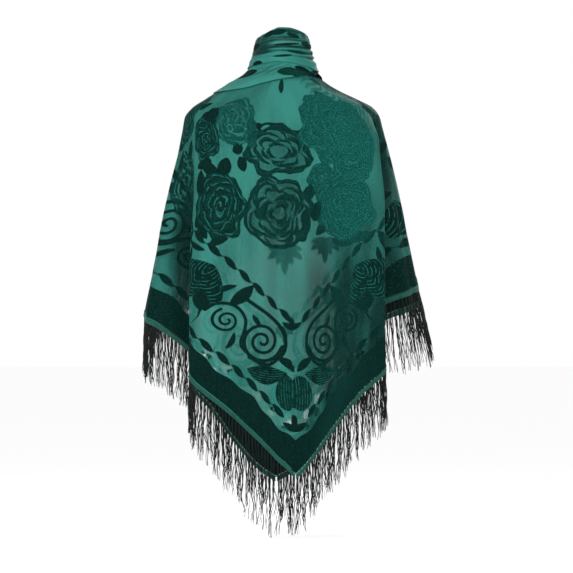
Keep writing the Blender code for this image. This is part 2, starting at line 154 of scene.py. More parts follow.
# Heights of the edges of the wound cloth, all round: the rim, the lower edge of the pleated turn round the
# neck, and the lower edge of the turn over the shoulders.
EDGE_COLUMNS = ("angle", "rim", "neck", "shoulder")
EDGES = (
    (-180, 0.0600, 0.0060, -0.0340),
    (-130, 0.0625, 0.0080, -0.0375),
    (-84, 0.0700, 0.0150, -0.0365),
    (-49, 0.0800, 0.0200, -0.0310),
    (-36, 0.0850, 0.0225, -0.0270),
    (-25, 0.0890, 0.0245, -0.0200),
    (-10, 0.0930, 0.0265, -0.0120),
    (15, 0.0925, 0.0240, -0.0050),
    (46, 0.0870, 0.0165, 0.0015),
    (75, 0.0790, 0.0070, 0.0000),
    (100, 0.0720, 0.0060, -0.0060),
    (130, 0.0660, 0.0060, -0.0180),
    (180, 0.0600, 0.0060, -0.0340),
)

TOP_OF_LAYERS = 0.014
TOP_INSET, INSET_ENDS = 0.0110, -0.018  # the layers pass inside the wound cloth above this height
RIM_TURN, RIM_INSIDE = 0.0035, 0.020
WRAP_OFF = 0.0042
FRONT_OFF = 0.0095  # how much farther out the wound cloth lies over the crossed fronts
UNDER = 0.012  # how far the turn over the shoulders reaches up under the pleated one

OUTER_WALL = 0.0016
LAYER_GAP = 0.0022
INNER_WALL = 0.0014
WRAP_WALL = 0.0018
SEAM = 0.0005
BRAID_HEIGHT = 0.0085
LEAN = 0.10  # how much of the cloth's slope the strands follow at the back and the left


def column(rows, columns, name):
    return np.array([row[columns.index(name)] for row in rows], float)


def smooth(at, places, values):
    """A smooth curve through the values, level past both ends. Places rise."""
    at = np.clip(np.asarray(at, float), places[0], places[-1])
    steps = np.diff(values) / np.diff(places)
    slopes = np.zeros(len(values))
    rising = steps[:-1] * steps[1:] > 0
    inner = np.zeros(len(steps) - 1)
    inner[rising] = 2 * steps[:-1][rising] * steps[1:][rising] / (steps[:-1] + steps[1:])[rising]
    slopes[1:-1] = inner
    slopes[0], slopes[-1] = steps[0], steps[-1]
    i = np.clip(np.searchsorted(places, at, side="right") - 1, 0, len(places) - 2)
    width = places[i + 1] - places[i]
    s = (at - places[i]) / width
    return (
        values[i] * (1 + 2 * s) * (1 - s) ** 2
        + values[i + 1] * s * s * (3 - 2 * s)
        + slopes[i] * width * s * (1 - s) ** 2
        - slopes[i + 1] * width * s * s * (1 - s)
    )


def ease(s):
    s = np.clip(s, 0.0, 1.0)
    return s * s * (3 - 2 * s)


def section(name, z):
    heights = column(SECTIONS, SECTION_COLUMNS, "height")[::-1]
    return smooth(z, heights, column(SECTIONS, SECTION_COLUMNS, name)[::-1])


def oval(angle, z):
    """Points of the level section, and its outward normals."""
    turn = np.radians(angle)
    sine, cosine = np.sin(turn), np.cos(turn)
    power = 2 / section("power", z)
    across = np.where(sine < 0, section("left", z), section("right", z))
    along = np.where(cosine > 0, section("back", z), section("front", z))
    point = np.stack(
        [np.sign(sine) * across * np.abs(sine) ** power, -np.sign(cosine) * along * np.abs(cosine) ** power, z],
        axis=-1,
    )
    normal = np.stack([sine / across, -cosine / along, np.zeros_like(z)], axis=-1)
    return point, normal / np.linalg.norm(normal, axis=-1, keepdims=True)


def fold_angle(z, side):
    """The angle at which the oval is as wide as the back panel's edge."""
    edge = PANEL_LEFT if side == "left" else PANEL_RIGHT
    share = np.minimum(edge / section(side, z), 0.90)
    return np.degrees(np.arcsin(share ** (section("power", z) / 2)))


def fitted(angle, z):
    """Moves an angle of the course so that FOLD_ANGLE comes to the panel's edge at that height."""
    edge = np.where(angle < 0, fold_angle(z, "left"), fold_angle(z, "right"))
    size = np.abs(angle)
    inside = size * edge / FOLD_ANGLE
    outside = edge + (size - FOLD_ANGLE) * (90 - edge) / (90 - FOLD_ANGLE)
    return np.sign(angle) * np.where(size < FOLD_ANGLE, inside, np.where(size < 90, outside, size))


def spline_weights(s):
    return np.stack(
        [(1 - s) ** 3, 3 * s**3 - 6 * s**2 + 4, -3 * s**3 + 3 * s**2 + 3 * s + 1, s**3], axis=-1
    ) / 6


def course(guide, z):
    """(angle, stand-off) of the cloth at a place of the course, which counts guide points, and a height."""
    names = ("plain", "folded", "off")
    plain, folded, off = (column(COURSE, COURSE_COLUMNS, name) for name in names)
    start = np.clip(np.floor(guide).astype(int), 1, len(COURSE) - 3)
    weights = spline_weights(guide - start)
    angle, stand_off = np.zeros_like(z), np.zeros_like(z)
    for k in range(4):
        i = start + k - 1
        stations = np.where((i < CORNER)[..., None], LEFT_FOLD, RIGHT_FOLD)
        begins, stands, doubles, full = np.moveaxis(stations, -1, 0)
        lifted, share = ease((begins - z) / (begins - stands)), ease((doubles - z) / (doubles - full))
        here = fitted(plain[i] + share * (folded[i] - plain[i]), z)
        behind = np.abs(here) < 100
        angle = angle + weights[..., k] * here
        stand_off = stand_off + weights[..., k] * off[i] * np.where(behind, lifted, 1.0)
    return angle, stand_off


def soft_folds(angle, z):
    out = np.zeros_like(z)
    for high, low, width, height, begins, full in SOFT_FOLDS:
        down = ease((begins - z) / (begins - full))
        crest = high + (low - high) * ease((begins - z) / 0.5)
        out = out + height * down * np.exp(-(((angle - crest) / width) ** 2))
    return out


def surface(guide, z):
    angle, stand_off = course(guide, z)
    point, normal = oval(angle, z)
    inset = TOP_INSET * ease((z - INSET_ENDS) / (TOP_OF_LAYERS - INSET_ENDS))
    out = stand_off + soft_folds(angle, z) - inset
    return point + normal * out[..., None]


def normals(shape, first, second, step_first=0.01, step_second=0.001):
    """Unit normals of a surface given as a function of two coordinates."""
    across = shape(first + step_first, second) - shape(first - step_first, second)
    along = shape(first, second + step_second) - shape(first, second - step_second)
    normal = np.cross(across, along)
    return normal / np.linalg.norm(normal, axis=-1, keepdims=True)


def hem_curve(guide, name, corner, corner_height):
    """The height of a hem. It comes to a corner at the point of the shawl."""
    heights = column(COURSE, COURSE_COLUMNS, name)
    places = np.arange(len(heights), dtype=float)
    before, after = places < corner, places > corner
    left = smooth(guide, np.append(places[before], corner), np.append(heights[before], corner_height))
    right = smooth(guide, np.append(corner, places[after]), np.append(corner_height, heights[after]))
    return np.where(guide < corner, left, right)


def outer_hem(guide):
    return hem_curve(guide, "hem", CORNER, CORNER_HEIGHT)


def inner_hem(guide):
    return hem_curve(guide, "inner_hem", INNER_CORNER, INNER_CORNER_HEIGHT)


def edge(name, angle):
    angles = column(EDGES, EDGE_COLUMNS, "angle")
    return smooth((np.asarray(angle, float) + 180) % 360 - 180, angles, column(EDGES, EDGE_COLUMNS, name))


def wrap_base(angle, z):
    """Points just outside the crossed fronts and the layers, and the outward normals of the oval."""
    point, normal = oval(angle, z)
    off = WRAP_OFF + FRONT_OFF * ease((np.abs(angle) - 105) / 45)
    return point + normal * off[..., None], normal


def pleat_crest(turn, left, back, right, front):
    """The height of a pleat's crest round the neck."""
    side = np.where(np.sin(turn) < 0, left, right)
    end = np.where(np.cos(turn) > 0, back, front)
    return side * np.sin(turn) ** 2 + end * np.cos(turn) ** 2


def pleated(angle, z):
    """The outside of the pleated turn round the neck."""
    point, normal = wrap_base(angle, z)
    turn = np.radians(angle)
    depth = PLEATS_LEFT + (1 - PLEATS_LEFT) * ease((angle - PLEATS_FROM) / (PLEATS_TO - PLEATS_FROM))
    depth = np.where(np.abs(angle) > 90, 1 - (1 - depth) * ease((150 + angle) / 60), depth)
    out = np.zeros_like(z)
    for *heights, width, height in PLEATS:
        out = out + height * depth * np.exp(-(((z - pleat_crest(turn, *heights)) / width) ** 2))
    over = 0.0030 * ease((edge("neck", angle) + 2 * UNDER - z) / UNDER)
    return point + normal * (out + over)[..., None]


def over_shoulders(angle, z):
    """The outside of the turn over the shoulders, which passes up inside the pleated turn."""
    point, normal = wrap_base(angle, z)
    inside = 0.0016 * ease((z - edge("neck", angle)) / UNDER)
    return point - normal * inside[..., None]


# ------------------------------------------------------------------ creases

# Soft creases: the two ends as width across the cloth and height, half width, how far out. Millimetres.
CREASES = (
    (-45, -370, -52, -600, 12, 3.6),
    (24, -360, 34, -560, 11, 3.4),
    (-8, -380, -10, -540, 9, -2.8),
    (70, -420, 62, -640, 10, -2.6),
    (-92, -300, -110, -520, 13, 1.8),
    (120, -330, 128, -560, 9, 1.5),
    (-40, -60, -100, -110, 8, 1.2),
    (-70, -35, -150, -80, 8, 1.6),
    (-95, -25, -190, -60, 7, -1.5),
    (60, -62, 120, -98, 4, 1.0),
    (72, -50, 150, -90, 4, 1.2),
    (84, -40, 170, -80, 4, -1.0),
    (96, -34, 185, -70, 4, 1.2),
    (110, -28, 200, -62, 4, 1.0),
    (52, -74, 96, -118, 5, -1.0),
    (-300, -120, -330, -380, 16, 2.4),
    (-380, -110, -410, -330, 15, -2.2),
    (-470, -90, -500, -300, 16, 2.4),
    (320, -130, 340, -380, 15, 2.2),
    (400, -120, 430, -340, 14, -2.0),
    (500, -90, 520, -280, 15, 2.4),
    (600, -60, 620, -200, 14, 2.0),
    (-570, -60, -600, -220, 14, -2.0),
    (-660, -40, -700, -150, 13, 1.8),
)


def beside_line(u, v, run, reach):
    """How far places lie to the side of a line that starts at 0, and how far past its ends, in reaches."""
    length = np.hypot(*run)
    along = (u * run[0] + v * run[1]) / length
    aside = (u * run[1] - v * run[0]) / length
    return aside, np.maximum(np.maximum(-along, along - length), 0) / reach


def creased(across, z):
    """How far the creases move the cloth out. Both layers share them, so they stay apart."""
    out = np.zeros_like(z)
    for a, za, b, zb, width, height in CREASES:
        a, za, b, zb, width, height = (value / 1000 for value in (a, za, b, zb, width, height))
        aside, past = beside_line(across - a, z - za, (b - a, zb - za), width * 2.2)
        out = out + height * np.exp(-((aside / width) ** 2) - past**2)
    return out


# ------------------------------------------------------------------ the flat cloth

GUIDES = np.linspace(1, len(COURSE) - 2, 1111)
ARC_HEIGHT, AXIS = -0.45, 0.0185  # the middle of the pattern lies here on the back


def travelled(line):
    """The way along a line of points to each of them."""
    return np.concatenate([[0], np.cumsum(np.linalg.norm(np.diff(line, axis=0), axis=1))])


def across_of():
    """The cloth's width from the middle of the pattern to each guide."""
    line = surface(GUIDES, np.full_like(GUIDES, ARC_HEIGHT))
    length = travelled(line)
    back = (GUIDES > 14) & (GUIDES < 20.5)
    return length - np.interp(AXIS, line[back, 0], length[back])


ACROSS = across_of()


class Flat:
    """Where places of a layer lie on the flat cloth: across from the middle, and up from the point along it."""

    def __init__(self, hem_of, corner_height):
        self.heights = np.linspace(TOP_OF_LAYERS, -0.835, 341)
        guide, z = np.meshgrid(GUIDES, self.heights, indexing="ij")
        points = surface(guide, z)
        length = np.concatenate(
            [np.zeros((len(GUIDES), 1)), np.cumsum(np.linalg.norm(np.diff(points, axis=1), axis=2), axis=1)], axis=1
        )
        hem = hem_of(GUIDES)
        to_hem = np.array([np.interp(-h, -self.heights, row) for h, row in zip(hem, length)])
        above = to_hem[:, None] - length
        side = np.sign(ACROSS)
        law = side * (hem - corner_height)
        self.across = law[:, None] + (ACROSS - law)[:, None] * ease(above / 0.25)
        self.up = np.abs(law)[:, None] + above
        # Beside the hem each column of cloth runs straight up from its own place along it.
        self.straight = np.broadcast_to(law[:, None], above.shape)
        self.x = points[..., 0]

    def at(self, guide, z, straight=False):
        i = np.clip((guide - GUIDES[0]) / (GUIDES[1] - GUIDES[0]), 0, len(GUIDES) - 1.001)
        j = np.clip((self.heights[0] - z) / (self.heights[0] - self.heights[1]), 0, len(self.heights) - 1.001)
        a, b = i.astype(int), j.astype(int)
        s, t = i - a, j - b
        found = []
        for table in (self.straight if straight else self.across, self.up):
            found.append(
                (table[a, b] * (1 - s) + table[a + 1, b] * s) * (1 - t)
                + (table[a, b + 1] * (1 - s) + table[a + 1, b + 1] * s) * t
            )
        return np.stack(found, axis=-1) * 1000

    def from_behind(self, x, z):
        """The place on the flat cloth, in mm, that shows at x and z (mm) on the back panel."""
        j = int(np.argmin(np.abs(self.heights - z / 1000)))
        back = (GUIDES > 13.4) & (GUIDES < 21.6)
        guide = np.interp(x / 1000, self.x[back, j], GUIDES[back])
        return self.at(np.array([guide]), np.array([z / 1000]))[0]


# ------------------------------------------------------------------ the pattern of pile

SIDE_MM = SIDE * 1000
# The border repeats along the hem: mirrored about the tulip, and about the middle of each side.
TULIP_PLACE = 416


class Pile:
    """The pattern at places of the cloth, in mm: how far inside the pile, how light the pile is, and the
    phase of the fine lines in the petals, which are drawn where it is whole."""

    def __init__(self, places):
        self.places = places
        count = len(places)
        self.pile, self.tone, self.lines = np.full(count, -6.0), np.zeros(count), np.full(count, 0.5)
        self.veil = np.zeros(count)

    def near(self, x, y, reach):
        return np.nonzero((np.abs(self.places[:, 0] - x) < reach) & (np.abs(self.places[:, 1] - y) < reach))[0]

    def put(self, i, value, tone=None, lines=None):
        better = value > self.pile[i]
        chosen = i[better]
        self.pile[chosen] = value[better]
        if tone is not None:
            self.tone[chosen] = tone[better] if isinstance(tone, np.ndarray) else tone
        self.lines[chosen] = 0.5 if lines is None else lines[better]

    def local(self, i, x, y, turn):
        c, s = math.cos(math.radians(turn)), math.sin(math.radians(turn))
        u, v = self.places[i, 0] - x, self.places[i, 1] - y
        return u * c + v * s, v * c - u * s

    def leaf(self, x, y, turn, long, wide, bend=0, tone=None, stripes=0, blunt=1.0, ribs=0):
        i = self.near(x, y, long * 0.65 + abs(bend))
        u, v = self.local(i, x, y, turn)
        rise = 1 - (2 * u / long) ** 2
        v = v - bend * rise
        value = wide / 2 * np.sign(rise) * np.abs(rise) ** blunt - np.abs(v)
        lines = None
        if stripes:
            lines = (v / wide + 0.5) * stripes + 0.25
        if ribs:
            lines = (u / long + 0.5 - 1.1 * (v / wide) ** 2 * wide / long) * ribs + 0.25
        self.put(i, value, tone, lines)

    def ribbon(self, points, wide, tone=None, taper=0.0):
        """A smooth stroke through the points. Taper thins it toward the last one."""
        points = np.array(points, float)
        middle = (points.max(0) + points.min(0)) / 2
        i = self.near(*middle, (points.max(0) - points.min(0)).max() / 2 + wide * 2)
        if not len(i):
            return
        places = np.arange(len(points), dtype=float)
        fine = np.linspace(0, len(points) - 1, 14 * len(points))
        line = np.stack([catmull(fine, places, points[:, k]) for k in range(2)], axis=1)
        a, b = line[:-1], line[1:]
        run = b - a
        q = self.places[i]
        share = ((q[:, None] - a) * run).sum(-1) / np.maximum((run * run).sum(-1), 1e-9)
        share = np.clip(share, 0, 1)
        apart = np.linalg.norm(q[:, None] - a - run * share[..., None], axis=-1)
        along = (np.arange(len(a)) + share) / len(a)
        half = wide / 2 * (1 - taper * along)
        self.put(i, (half - apart).max(axis=1), tone)

    def spiral(self, x, y, radius, turns, start, wide, tone=None, way=1, heart=0.12):
        """Start is the angle of the outer end in degrees. Way 1 winds inward anticlockwise."""
        n = int(turns * 14)
        share = np.linspace(0, 1, n)
        angle = np.radians(start) + way * share * turns * 2 * math.pi
        reach = radius * (1 - (1 - heart) * share)
        self.ribbon(np.stack([x + reach * np.cos(angle), y + reach * np.sin(angle)], axis=1), wide, tone, 0.15)

    def rose(self, x, y, wide, high, turn=0, rings=4, gap=0.0, tone=None, seed=1, lobes=7, heart=True, scallop=0.10):
        i = self.near(x, y, max(wide, high) * 0.56)
        if not len(i):
            return
        rng = np.random.default_rng(seed)
        u, v = self.local(i, x, y, turn)
        u, v = 2 * u / wide, 2 * v / high
        wave = 0.055 * np.sin(3.1 * u + 5.3 * v + seed) + 0.05 * np.sin(6.7 * u - 4.1 * v + 2 * seed)
        wave = wave + 0.022 * np.sin(13.1 * u + 9.7 * v + seed) * np.sin(11.3 * v - 8.1 * u)
        r, a = np.hypot(u, v) + wave, np.arctan2(v, u)
        size = (wide + high) / 4
        first = rng.uniform(0, math.pi)
        value = (1 - scallop + scallop * np.abs(np.cos(lobes / 2 * a + first)) - r) * size
        last, phase = np.full_like(r, 1.02), np.zeros_like(r)
        edge_value, strokes = value, -gap * 0.62 - np.abs(value + gap * 0.4)
        for k in range(rings):
            petals = (5, 4, 5, 3, 3)[min(k, 4)]
            turned = rng.uniform(0, math.pi)
            lobe = np.abs(np.cos(petals / 2 * a + turned))
            radius = 1 - 0.80 * (k + 1) / (rings + 0.35)
            ring = radius * (0.80 + 0.26 * np.sqrt(lobe)) + 0.02 * np.sin(2 * a + turned)
            ring = np.minimum(ring, last - 0.05)
            inside = r < last
            phase = np.where(inside & (r >= ring), k + (last - r) / np.maximum(last - ring, 0.04), phase)
            if gap < 0:
                thick = -gap * (0.30 + 0.95 * lobe * (0.6 + 0.4 * np.cos(a * 1.5 + turned) ** 2))
                strokes = np.maximum(strokes, thick / 2 - np.abs(r - ring) * size)
            elif gap:
                thick = gap * (0.55 + 0.45 * np.cos(petals * a / 2 + turned + 0.8) ** 2)
                value = np.minimum(value, np.abs(r - ring) * size - thick / 2)
                cut = lobe * 2 / petals * r * size
                between = (r < ring) & (r > ring - 0.16)
                value = np.where(between, np.minimum(value, cut - gap * 0.22), value)
            last = ring
        phase = np.where(r < last, rings + np.minimum((last - r) / 0.3, 0.45), phase)
        if heart:  # a whorl in the middle
            twist = np.abs(((r / 0.17 - a / (2 * math.pi)) % 1) - 0.5) * 0.17 * size - max(abs(gap) * 0.6, 2.4) * 0.36
            value = np.where(r < last * 0.98, np.minimum(value, twist), value) if gap >= 0 else value
        if gap < 0:
            value = np.minimum(edge_value, np.maximum(strokes, np.where(r < last * 0.98, -twist - 1.2, -6)))
            self.veil[i] = np.maximum(self.veil[i], ease(edge_value / 8))
        # Painted shade: each petal is darker at its root, where the next one lies on it.
        tone = tone + 0.26 * (phase % 1 - 0.25) if rings else tone
        self.put(i, value, tone, None if gap else phase)


def catmull(at, places, values):
    """A smooth curve through the values that overshoots like a pen stroke."""
    slopes = np.gradient(values, places)
    i = np.clip(np.searchsorted(places, at, side="right") - 1, 0, len(places) - 2)
    s = at - places[i]
    return (
        values[i] * (1 + 2 * s) * (1 - s) ** 2
        + values[i + 1] * s * s * (3 - 2 * s)
        + slopes[i] * s * (1 - s) ** 2
        - slopes[i + 1] * s * s * (1 - s)
    )


def along_and_in(places):
    """Distance along the hem from the point, and in from the hem, in mm."""
    across, up = np.abs(places[:, 0]), places[:, 1]
    return (up + across) / math.sqrt(2), (up - across) / math.sqrt(2)


def border_places(places):
    """The border's own plan: places beside the point, to which the repeats along the side are folded back."""
    along, inward = along_and_in(places)
    along = np.where(along > SIDE_MM / 2, SIDE_MM - along, along)
    along = np.where(along > TULIP_PLACE, 2 * TULIP_PLACE - along, along)
    return np.stack([(along - inward) / math.sqrt(2), (along + inward) / math.sqrt(2)], axis=1)


BAND_IN, BAND_OUT = 47, 2.5
INNER_CHAIN, OUTER_CHAIN = (216, 247, 38.3), (68, 120, 38.0)  # in from the hem, first leaf, pitch


def border(pile, places):
    """The velvet band along the hem, two chains of leaves, and scrolls, tulips and palmettes between them."""
    along, inward = along_and_in(places)
    wave = 3.5 * np.sin(along / 23) + 2.0 * np.sin(along / 9.1 + 1)
    every = np.arange(len(places))
    pile.put(every, np.minimum(BAND_IN + wave - inward, inward - BAND_OUT), 0.0)
    for place, first, pitch in (INNER_CHAIN, OUTER_CHAIN):
        step = (along - first) % pitch
        u = np.minimum(step, pitch - step)
        rise = 1 - (2 * u / (pitch * 0.97)) ** 2
        tilt = (np.where(step < pitch / 2, step, step - pitch)) * 0.16
        value = 6.3 * rise - np.abs(inward - place - tilt)
        value = np.where(along > first - pitch / 2, value, -6)
        value = np.maximum(value, np.where(along > first, 1.0 - np.abs(inward - place), -6))
        pile.put(every, value, 0.0)
    plan = Pile(border_places(places))
    plan.spiral(70, 275, 43, 2.35, 195, 7, way=1, heart=0.10)
    plan.ribbon([(96, 243), (60, 226), (28, 250), (24, 285), (36, 310), (58, 330), (88, 352), (106, 366)], 7.5)
    plan.leaf(110, 370, 140, 62, 26, 3)
    plan.leaf(138, 381, 160, 46, 12, -3)
    plan.leaf(80, 319, 55, 30, 10, -2)
    plan.ribbon([(92, 244), (112, 268), (104, 300), (103, 322), (115, 342), (134, 352), (156, 352), (172, 340)], 6.5)
    plan.spiral(138, 318, 25, 1.8, 70, 5.5, way=-1, heart=0.16)
    plan.leaf(133, 277, 115, 42, 11, 5)
    plan.leaf(160, 398, 78, 100, 46, -8, ribs=13, blunt=0.8)
    plan.leaf(197, 408, 112, 98, 46, 8, ribs=13, blunt=0.8)
    plan.leaf(178, 362, 95, 50, 34, 0)
    plan.ribbon([(180, 340), (186, 325), (200, 312)], 5, taper=0.6)
    plan.leaf(60, 214, 8, 84, 38, -9, stripes=8)
    plan.leaf(20, 226, 40, 46, 18, 4)
    pile.put(every, plan.pile, 0.0, plan.lines)
    pile.leaf(-13, 168, 90, 74, 44, 3, stripes=8, tone=0.1, blunt=0.55)
    pile.leaf(15, 168, 90, 74, 44, -3, stripes=8, tone=0.1, blunt=0.55)
    for turn, long in ((90, 44), (35, 34), (145, 34)):
        c, s = math.cos(math.radians(turn)), math.sin(math.radians(turn))
        pile.leaf(c * long * 0.45, 98 + s * long * 0.45 - 8, turn, long, 14)
        pile.leaf(c * 10, 300 + s * 10, turn, 30, 11)


# Roses of the back panel as they lie seen from behind: middle, size (mm), turn, rings of petals, gap between the
# petals (0 draws them with fine lines), how light (a painted sheen), and the seed of their petals.
ROSES = (
    (-104, -92, 96, 118, 20, 4, 3.2, 0.55, 3, 7),
    (-170, -134, 84, 100, 10, 4, 0, 0.05, 5, 6),
    (-150, -88, 50, 46, 0, 0, 0, 0.0, 6, 8),
    (-131, -270, 116, 150, 8, 4, 0, 0.05, 8, 8),
    (-12, -158, 142, 108, -8, 4, -8.5, 0.10, 11, 7),
    (-12, -286, 142, 160, 10, 5, -8.5, 0.10, 14, 8),
    (116, -102, 168, 176, 0, 5, 0, 0.66, 17, 9),
    (146, -172, 104, 112, 0, 4, 0, 0.56, 19, 8),
    (126, -272, 124, 142, 12, 5, 0, 0.42, 23, 8),
    (80, -214, 58, 62, 0, 3, 0, 0.5, 27, 6),
)
# Leaves and single petals: middle, turn, length, width, bend, how light.
LEAVES = (
    (-193, -187, 20, 44, 22, 3, 0.0),
    (-176, -178, 60, 34, 20, 2, 0.0),
    (-150, -192, 150, 62, 26, 4, 0.0),
    (-121, -193, 70, 44, 34, 0, 0.0),
    (-170, -230, 105, 70, 26, 5, 0.0),
    (-93, -155, 20, 26, 24, 0, 0.0),
    (-84, -186, 110, 34, 22, 0, 0.0),
    (-132, -345, 20, 44, 20, 3, 0.05),
    (-164, -318, 115, 50, 20, 3, 0.0),
    (-61, -140, 60, 40, 18, 3, 0.5),
    (-66, -112, 75, 40, 20, -3, 0.5),
    (-50, -108, 10, 16, 15, 0, 0.0),
    (53, -246, 80, 36, 22, 0, 0.15),
    (72, -283, 70, 46, 28, 3, 0.05),
    (50, -300, 100, 44, 20, 4, 0.1),
    (84, -318, 40, 44, 20, 3, 0.1),
    (158, -338, 20, 50, 20, 3, 0.2),
    (120, -345, 170, 46, 18, 2, 0.15),
    (-3, -24, 90, 36, 22, 0, 0.1),
    (-210, -300, 70, 40, 14, 3, 0.0),
    (-196, -352, 150, 44, 12, 4, 0.0),
)
# Stems on the back panel, as points seen from behind, and their width.
STEMS = (
    (((-52, -112), (-34, -103), (-8, -106), (12, -116)), 5.5),
    (((-40, -118), (-18, -110), (10, -118), (38, -126), (62, -140), (84, -162)), 6.5),
    (((-232, -288), (-214, -300), (-196, -296), (-176, -310)), 5.0),
)
# The inner layer's own leaf sprays, which show softly through the outer one: middle of the base, size.
SPRAYS = ((4, -352, 1.0), (86, -338, 0.85), (-190, -420, 0.8), (2, -520, 0.55))
# Roses of the rest of the cloth, by their places on the flat cloth: across, up, wide, high, seed.
WIDE_ROSES = (
    (318, 742, 150, 130, 31), (300, 600, 120, 140, 33), (436, 700, 140, 120, 35), (440, 836, 130, 120, 37),
    (560, 850, 140, 126, 39), (330, 880, 140, 120, 41), (680, 960, 130, 120, 43), (560, 980, 120, 110, 45),
    (220, 900, 120, 110, 47), (800, 1060, 110, 100, 49),
)


def back_pattern(pile, flat):
    for x, z, wide, high, turn, rings, gap, tone, seed, lobes in ROSES:
        across, up = flat.from_behind(x, z)
        pile.rose(across, up, wide, high, turn, rings, gap, tone, seed, lobes, heart=rings > 2)
    for x, z, turn, long, wide, bend, tone in LEAVES:
        across, up = flat.from_behind(x, z)
        pile.leaf(across, up, turn, long, wide, bend, tone, blunt=0.8)
    for points, wide in STEMS:
        pile.ribbon([flat.from_behind(x, z) for x, z in points], wide, 0.05)


def wide_pattern(pile):
    for across, up, wide, high, seed in WIDE_ROSES:
        for side in (-1, 1):
            gap = (4.6, 0, 5.2)[seed % 3]
            pile.rose(side * across, up, wide, high, side * seed * 9 % 50, 4, gap, 0.1, seed, 7)
            for k in range(3):
                turn = math.radians(seed * 40 + k * 115)
                reach = wide * 0.62
                pile.leaf(
                    side * (across + reach * math.cos(turn)), up + reach * math.sin(turn), math.degrees(turn) * side,
                    48, 22, 3, 0.05,
                )


def spray(pile, across, up, size):
    for turn, long, wide in (
        (-90, 62, 17), (-140, 46, 15), (-40, 46, 15), (-165, 36, 12), (-15, 36, 12), (-112, 44, 14), (-68, 44, 14)
    ):
        c, s = math.cos(math.radians(turn)), math.sin(math.radians(turn))
        reach = long * size * 0.5
        pile.leaf(across + c * reach, up + s * reach, turn, long * size, wide * size, 0, 0.2, blunt=0.8)


def outer_pattern(places, beside, flat):
    pile = Pile(places)
    border(pile, beside)
    back_pattern(pile, flat)
    wide_pattern(pile)
    # The inner layer's sprays darken the sheer ground that lies on them.
    under = Pile(places)
    for x, z, size in SPRAYS:
        spray(under, *flat.from_behind(x, z), size)
    pile.veil = np.maximum(pile.veil, ease((under.pile + 2.5) / 4))
    return pile


def inner_pattern(places, beside, flat):
    pile = Pile(places)
    border(pile, beside)
    for x, z, size in SPRAYS:
        across, up = flat.from_behind(x, z)
        spray(pile, across, up, size)
    for x, z, wide, high, turn, *_, seed, _ in ROSES[4:]:
        if seed in (14, 17, 19, 23):
            across, up = flat.from_behind(x, z)
            pile.rose(across - 4, up + 8, wide * 0.8, high * 0.8, turn, 4, 5, 0.1, seed + 50, 7)
    wide_pattern(pile)
    return pile


# ------------------------------------------------------------------ meshes


def add_mesh(name, points, faces, material, floats, uv):
    mesh = bpy.data.meshes.new(name)
    mesh.from_pydata(np.asarray(points).tolist(), [], faces)
    mesh.materials.append(material)
    for key, values in floats.items():
        made = mesh.attributes.new(key, "FLOAT", "POINT")
        made.data.foreach_set("value", np.asarray(values, np.float32))
    corner = np.empty(len(mesh.loops), np.int32)
    mesh.loops.foreach_get("vertex_index", corner)
    mesh.uv_layers.new(name="UVMap").data.foreach_set("uv", np.asarray(uv, np.float32)[corner].ravel())
    mesh.shade_smooth()
    made = bpy.data.objects.new(name, mesh)
    bpy.context.scene.collection.objects.link(made)
    return made


def finished(made, replaced=()):
    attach(made, "root")
    if replaced:
        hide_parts(*replaced)
    return made


BACK_FROM, BACK_TO, FINE_TO = 12.2, 23.2, 23.6  # guides of the back panel, and where the fine columns end


def cloth_columns(pitch_back, pitch_rest):
    fine = (GUIDES > BACK_FROM) & (GUIDES < FINE_TO)
    pitch = np.where(fine, pitch_back, pitch_rest)
    count = np.concatenate([[0], np.cumsum(np.diff(ACROSS) / pitch[1:])])
    return np.interp(np.linspace(0, count[-1], int(count[-1]) + 1), count, GUIDES)


def cloth_layer(name, hem_of, corner_height, off, pattern, pitches, cloth):
    """One half of the square as a thin shell. Pitches: of the back's columns, of the other columns, of the rows."""
    guides = cloth_columns(pitches[0], pitches[1])
    upper = np.arange(TOP_OF_LAYERS, -0.10, -pitches[2] * 0.62)
    lower = np.arange(upper[-1] - pitches[2], -0.84, -pitches[2])
    heights = np.concatenate([upper, lower])
    hems = hem_of(guides)
    columns = [np.append(heights[heights > hem + pitches[2] * 0.4], hem) for hem in hems]
    starts = np.concatenate([[0], np.cumsum([len(c) for c in columns])])
    guide = np.concatenate([np.full(len(c), g) for c, g in zip(columns, guides)])
    z = np.concatenate(columns)
    out = normals(surface, guide, z)
    across = np.interp(guide, GUIDES, ACROSS)
    points = surface(guide, z) + out * (off + creased(across, z))[..., None]
    faces = []
    for i in range(len(guides) - 1):
        a, b = starts[i], starts[i + 1]
        last_a, last_b = len(columns[i]) - 1, len(columns[i + 1]) - 1
        both = min(last_a, last_b)
        faces.extend((a + k, a + k + 1, b + k + 1, b + k) for k in range(both))
        if last_a > last_b:
            faces.extend((a + k, a + k + 1, b + last_b) for k in range(last_b, last_a))
        else:
            faces.extend((a + last_a, b + k + 1, b + k) for k in range(last_a, last_b))
    flat = Flat(hem_of, corner_height)
    places = flat.at(guide, z)
    beside = flat.at(guide, z, straight=True)
    pile = pattern(places, beside, flat)
    # Painted shade of the ground, and painted sheen added to the pile's tone.
    shade, painted_sheen = cloth_tones(places, guide, z)
    shade = np.clip(shade + 0.40 * pile.veil, 0, 1)
    # The sheer spots lie just in from the band, near the point, and only where there is no pile.
    along, inward = along_and_in(beside)
    worn = noise_wave(along * 1.4, inward * 0.7 + 40, 13, 21) + 0.25 * noise_wave(along, inward, 5, 22)
    thin = ease((worn - 0.22) / 0.25) * ease((inward - 46) / 6) * ease((76 - inward) / 10) * ease((470 - along) / 60)
    thin = thin * ease((-pile.pile - 0.5) / 2)
    floats = {
        "thin": thin, "pile": np.clip(pile.pile, -6, 6), "lines": pile.lines,
        "tone": np.clip(pile.tone + painted_sheen, 0, 1), "shade": shade,
    }
    return add_mesh(name, points, faces, cloth, floats, places / 1000)


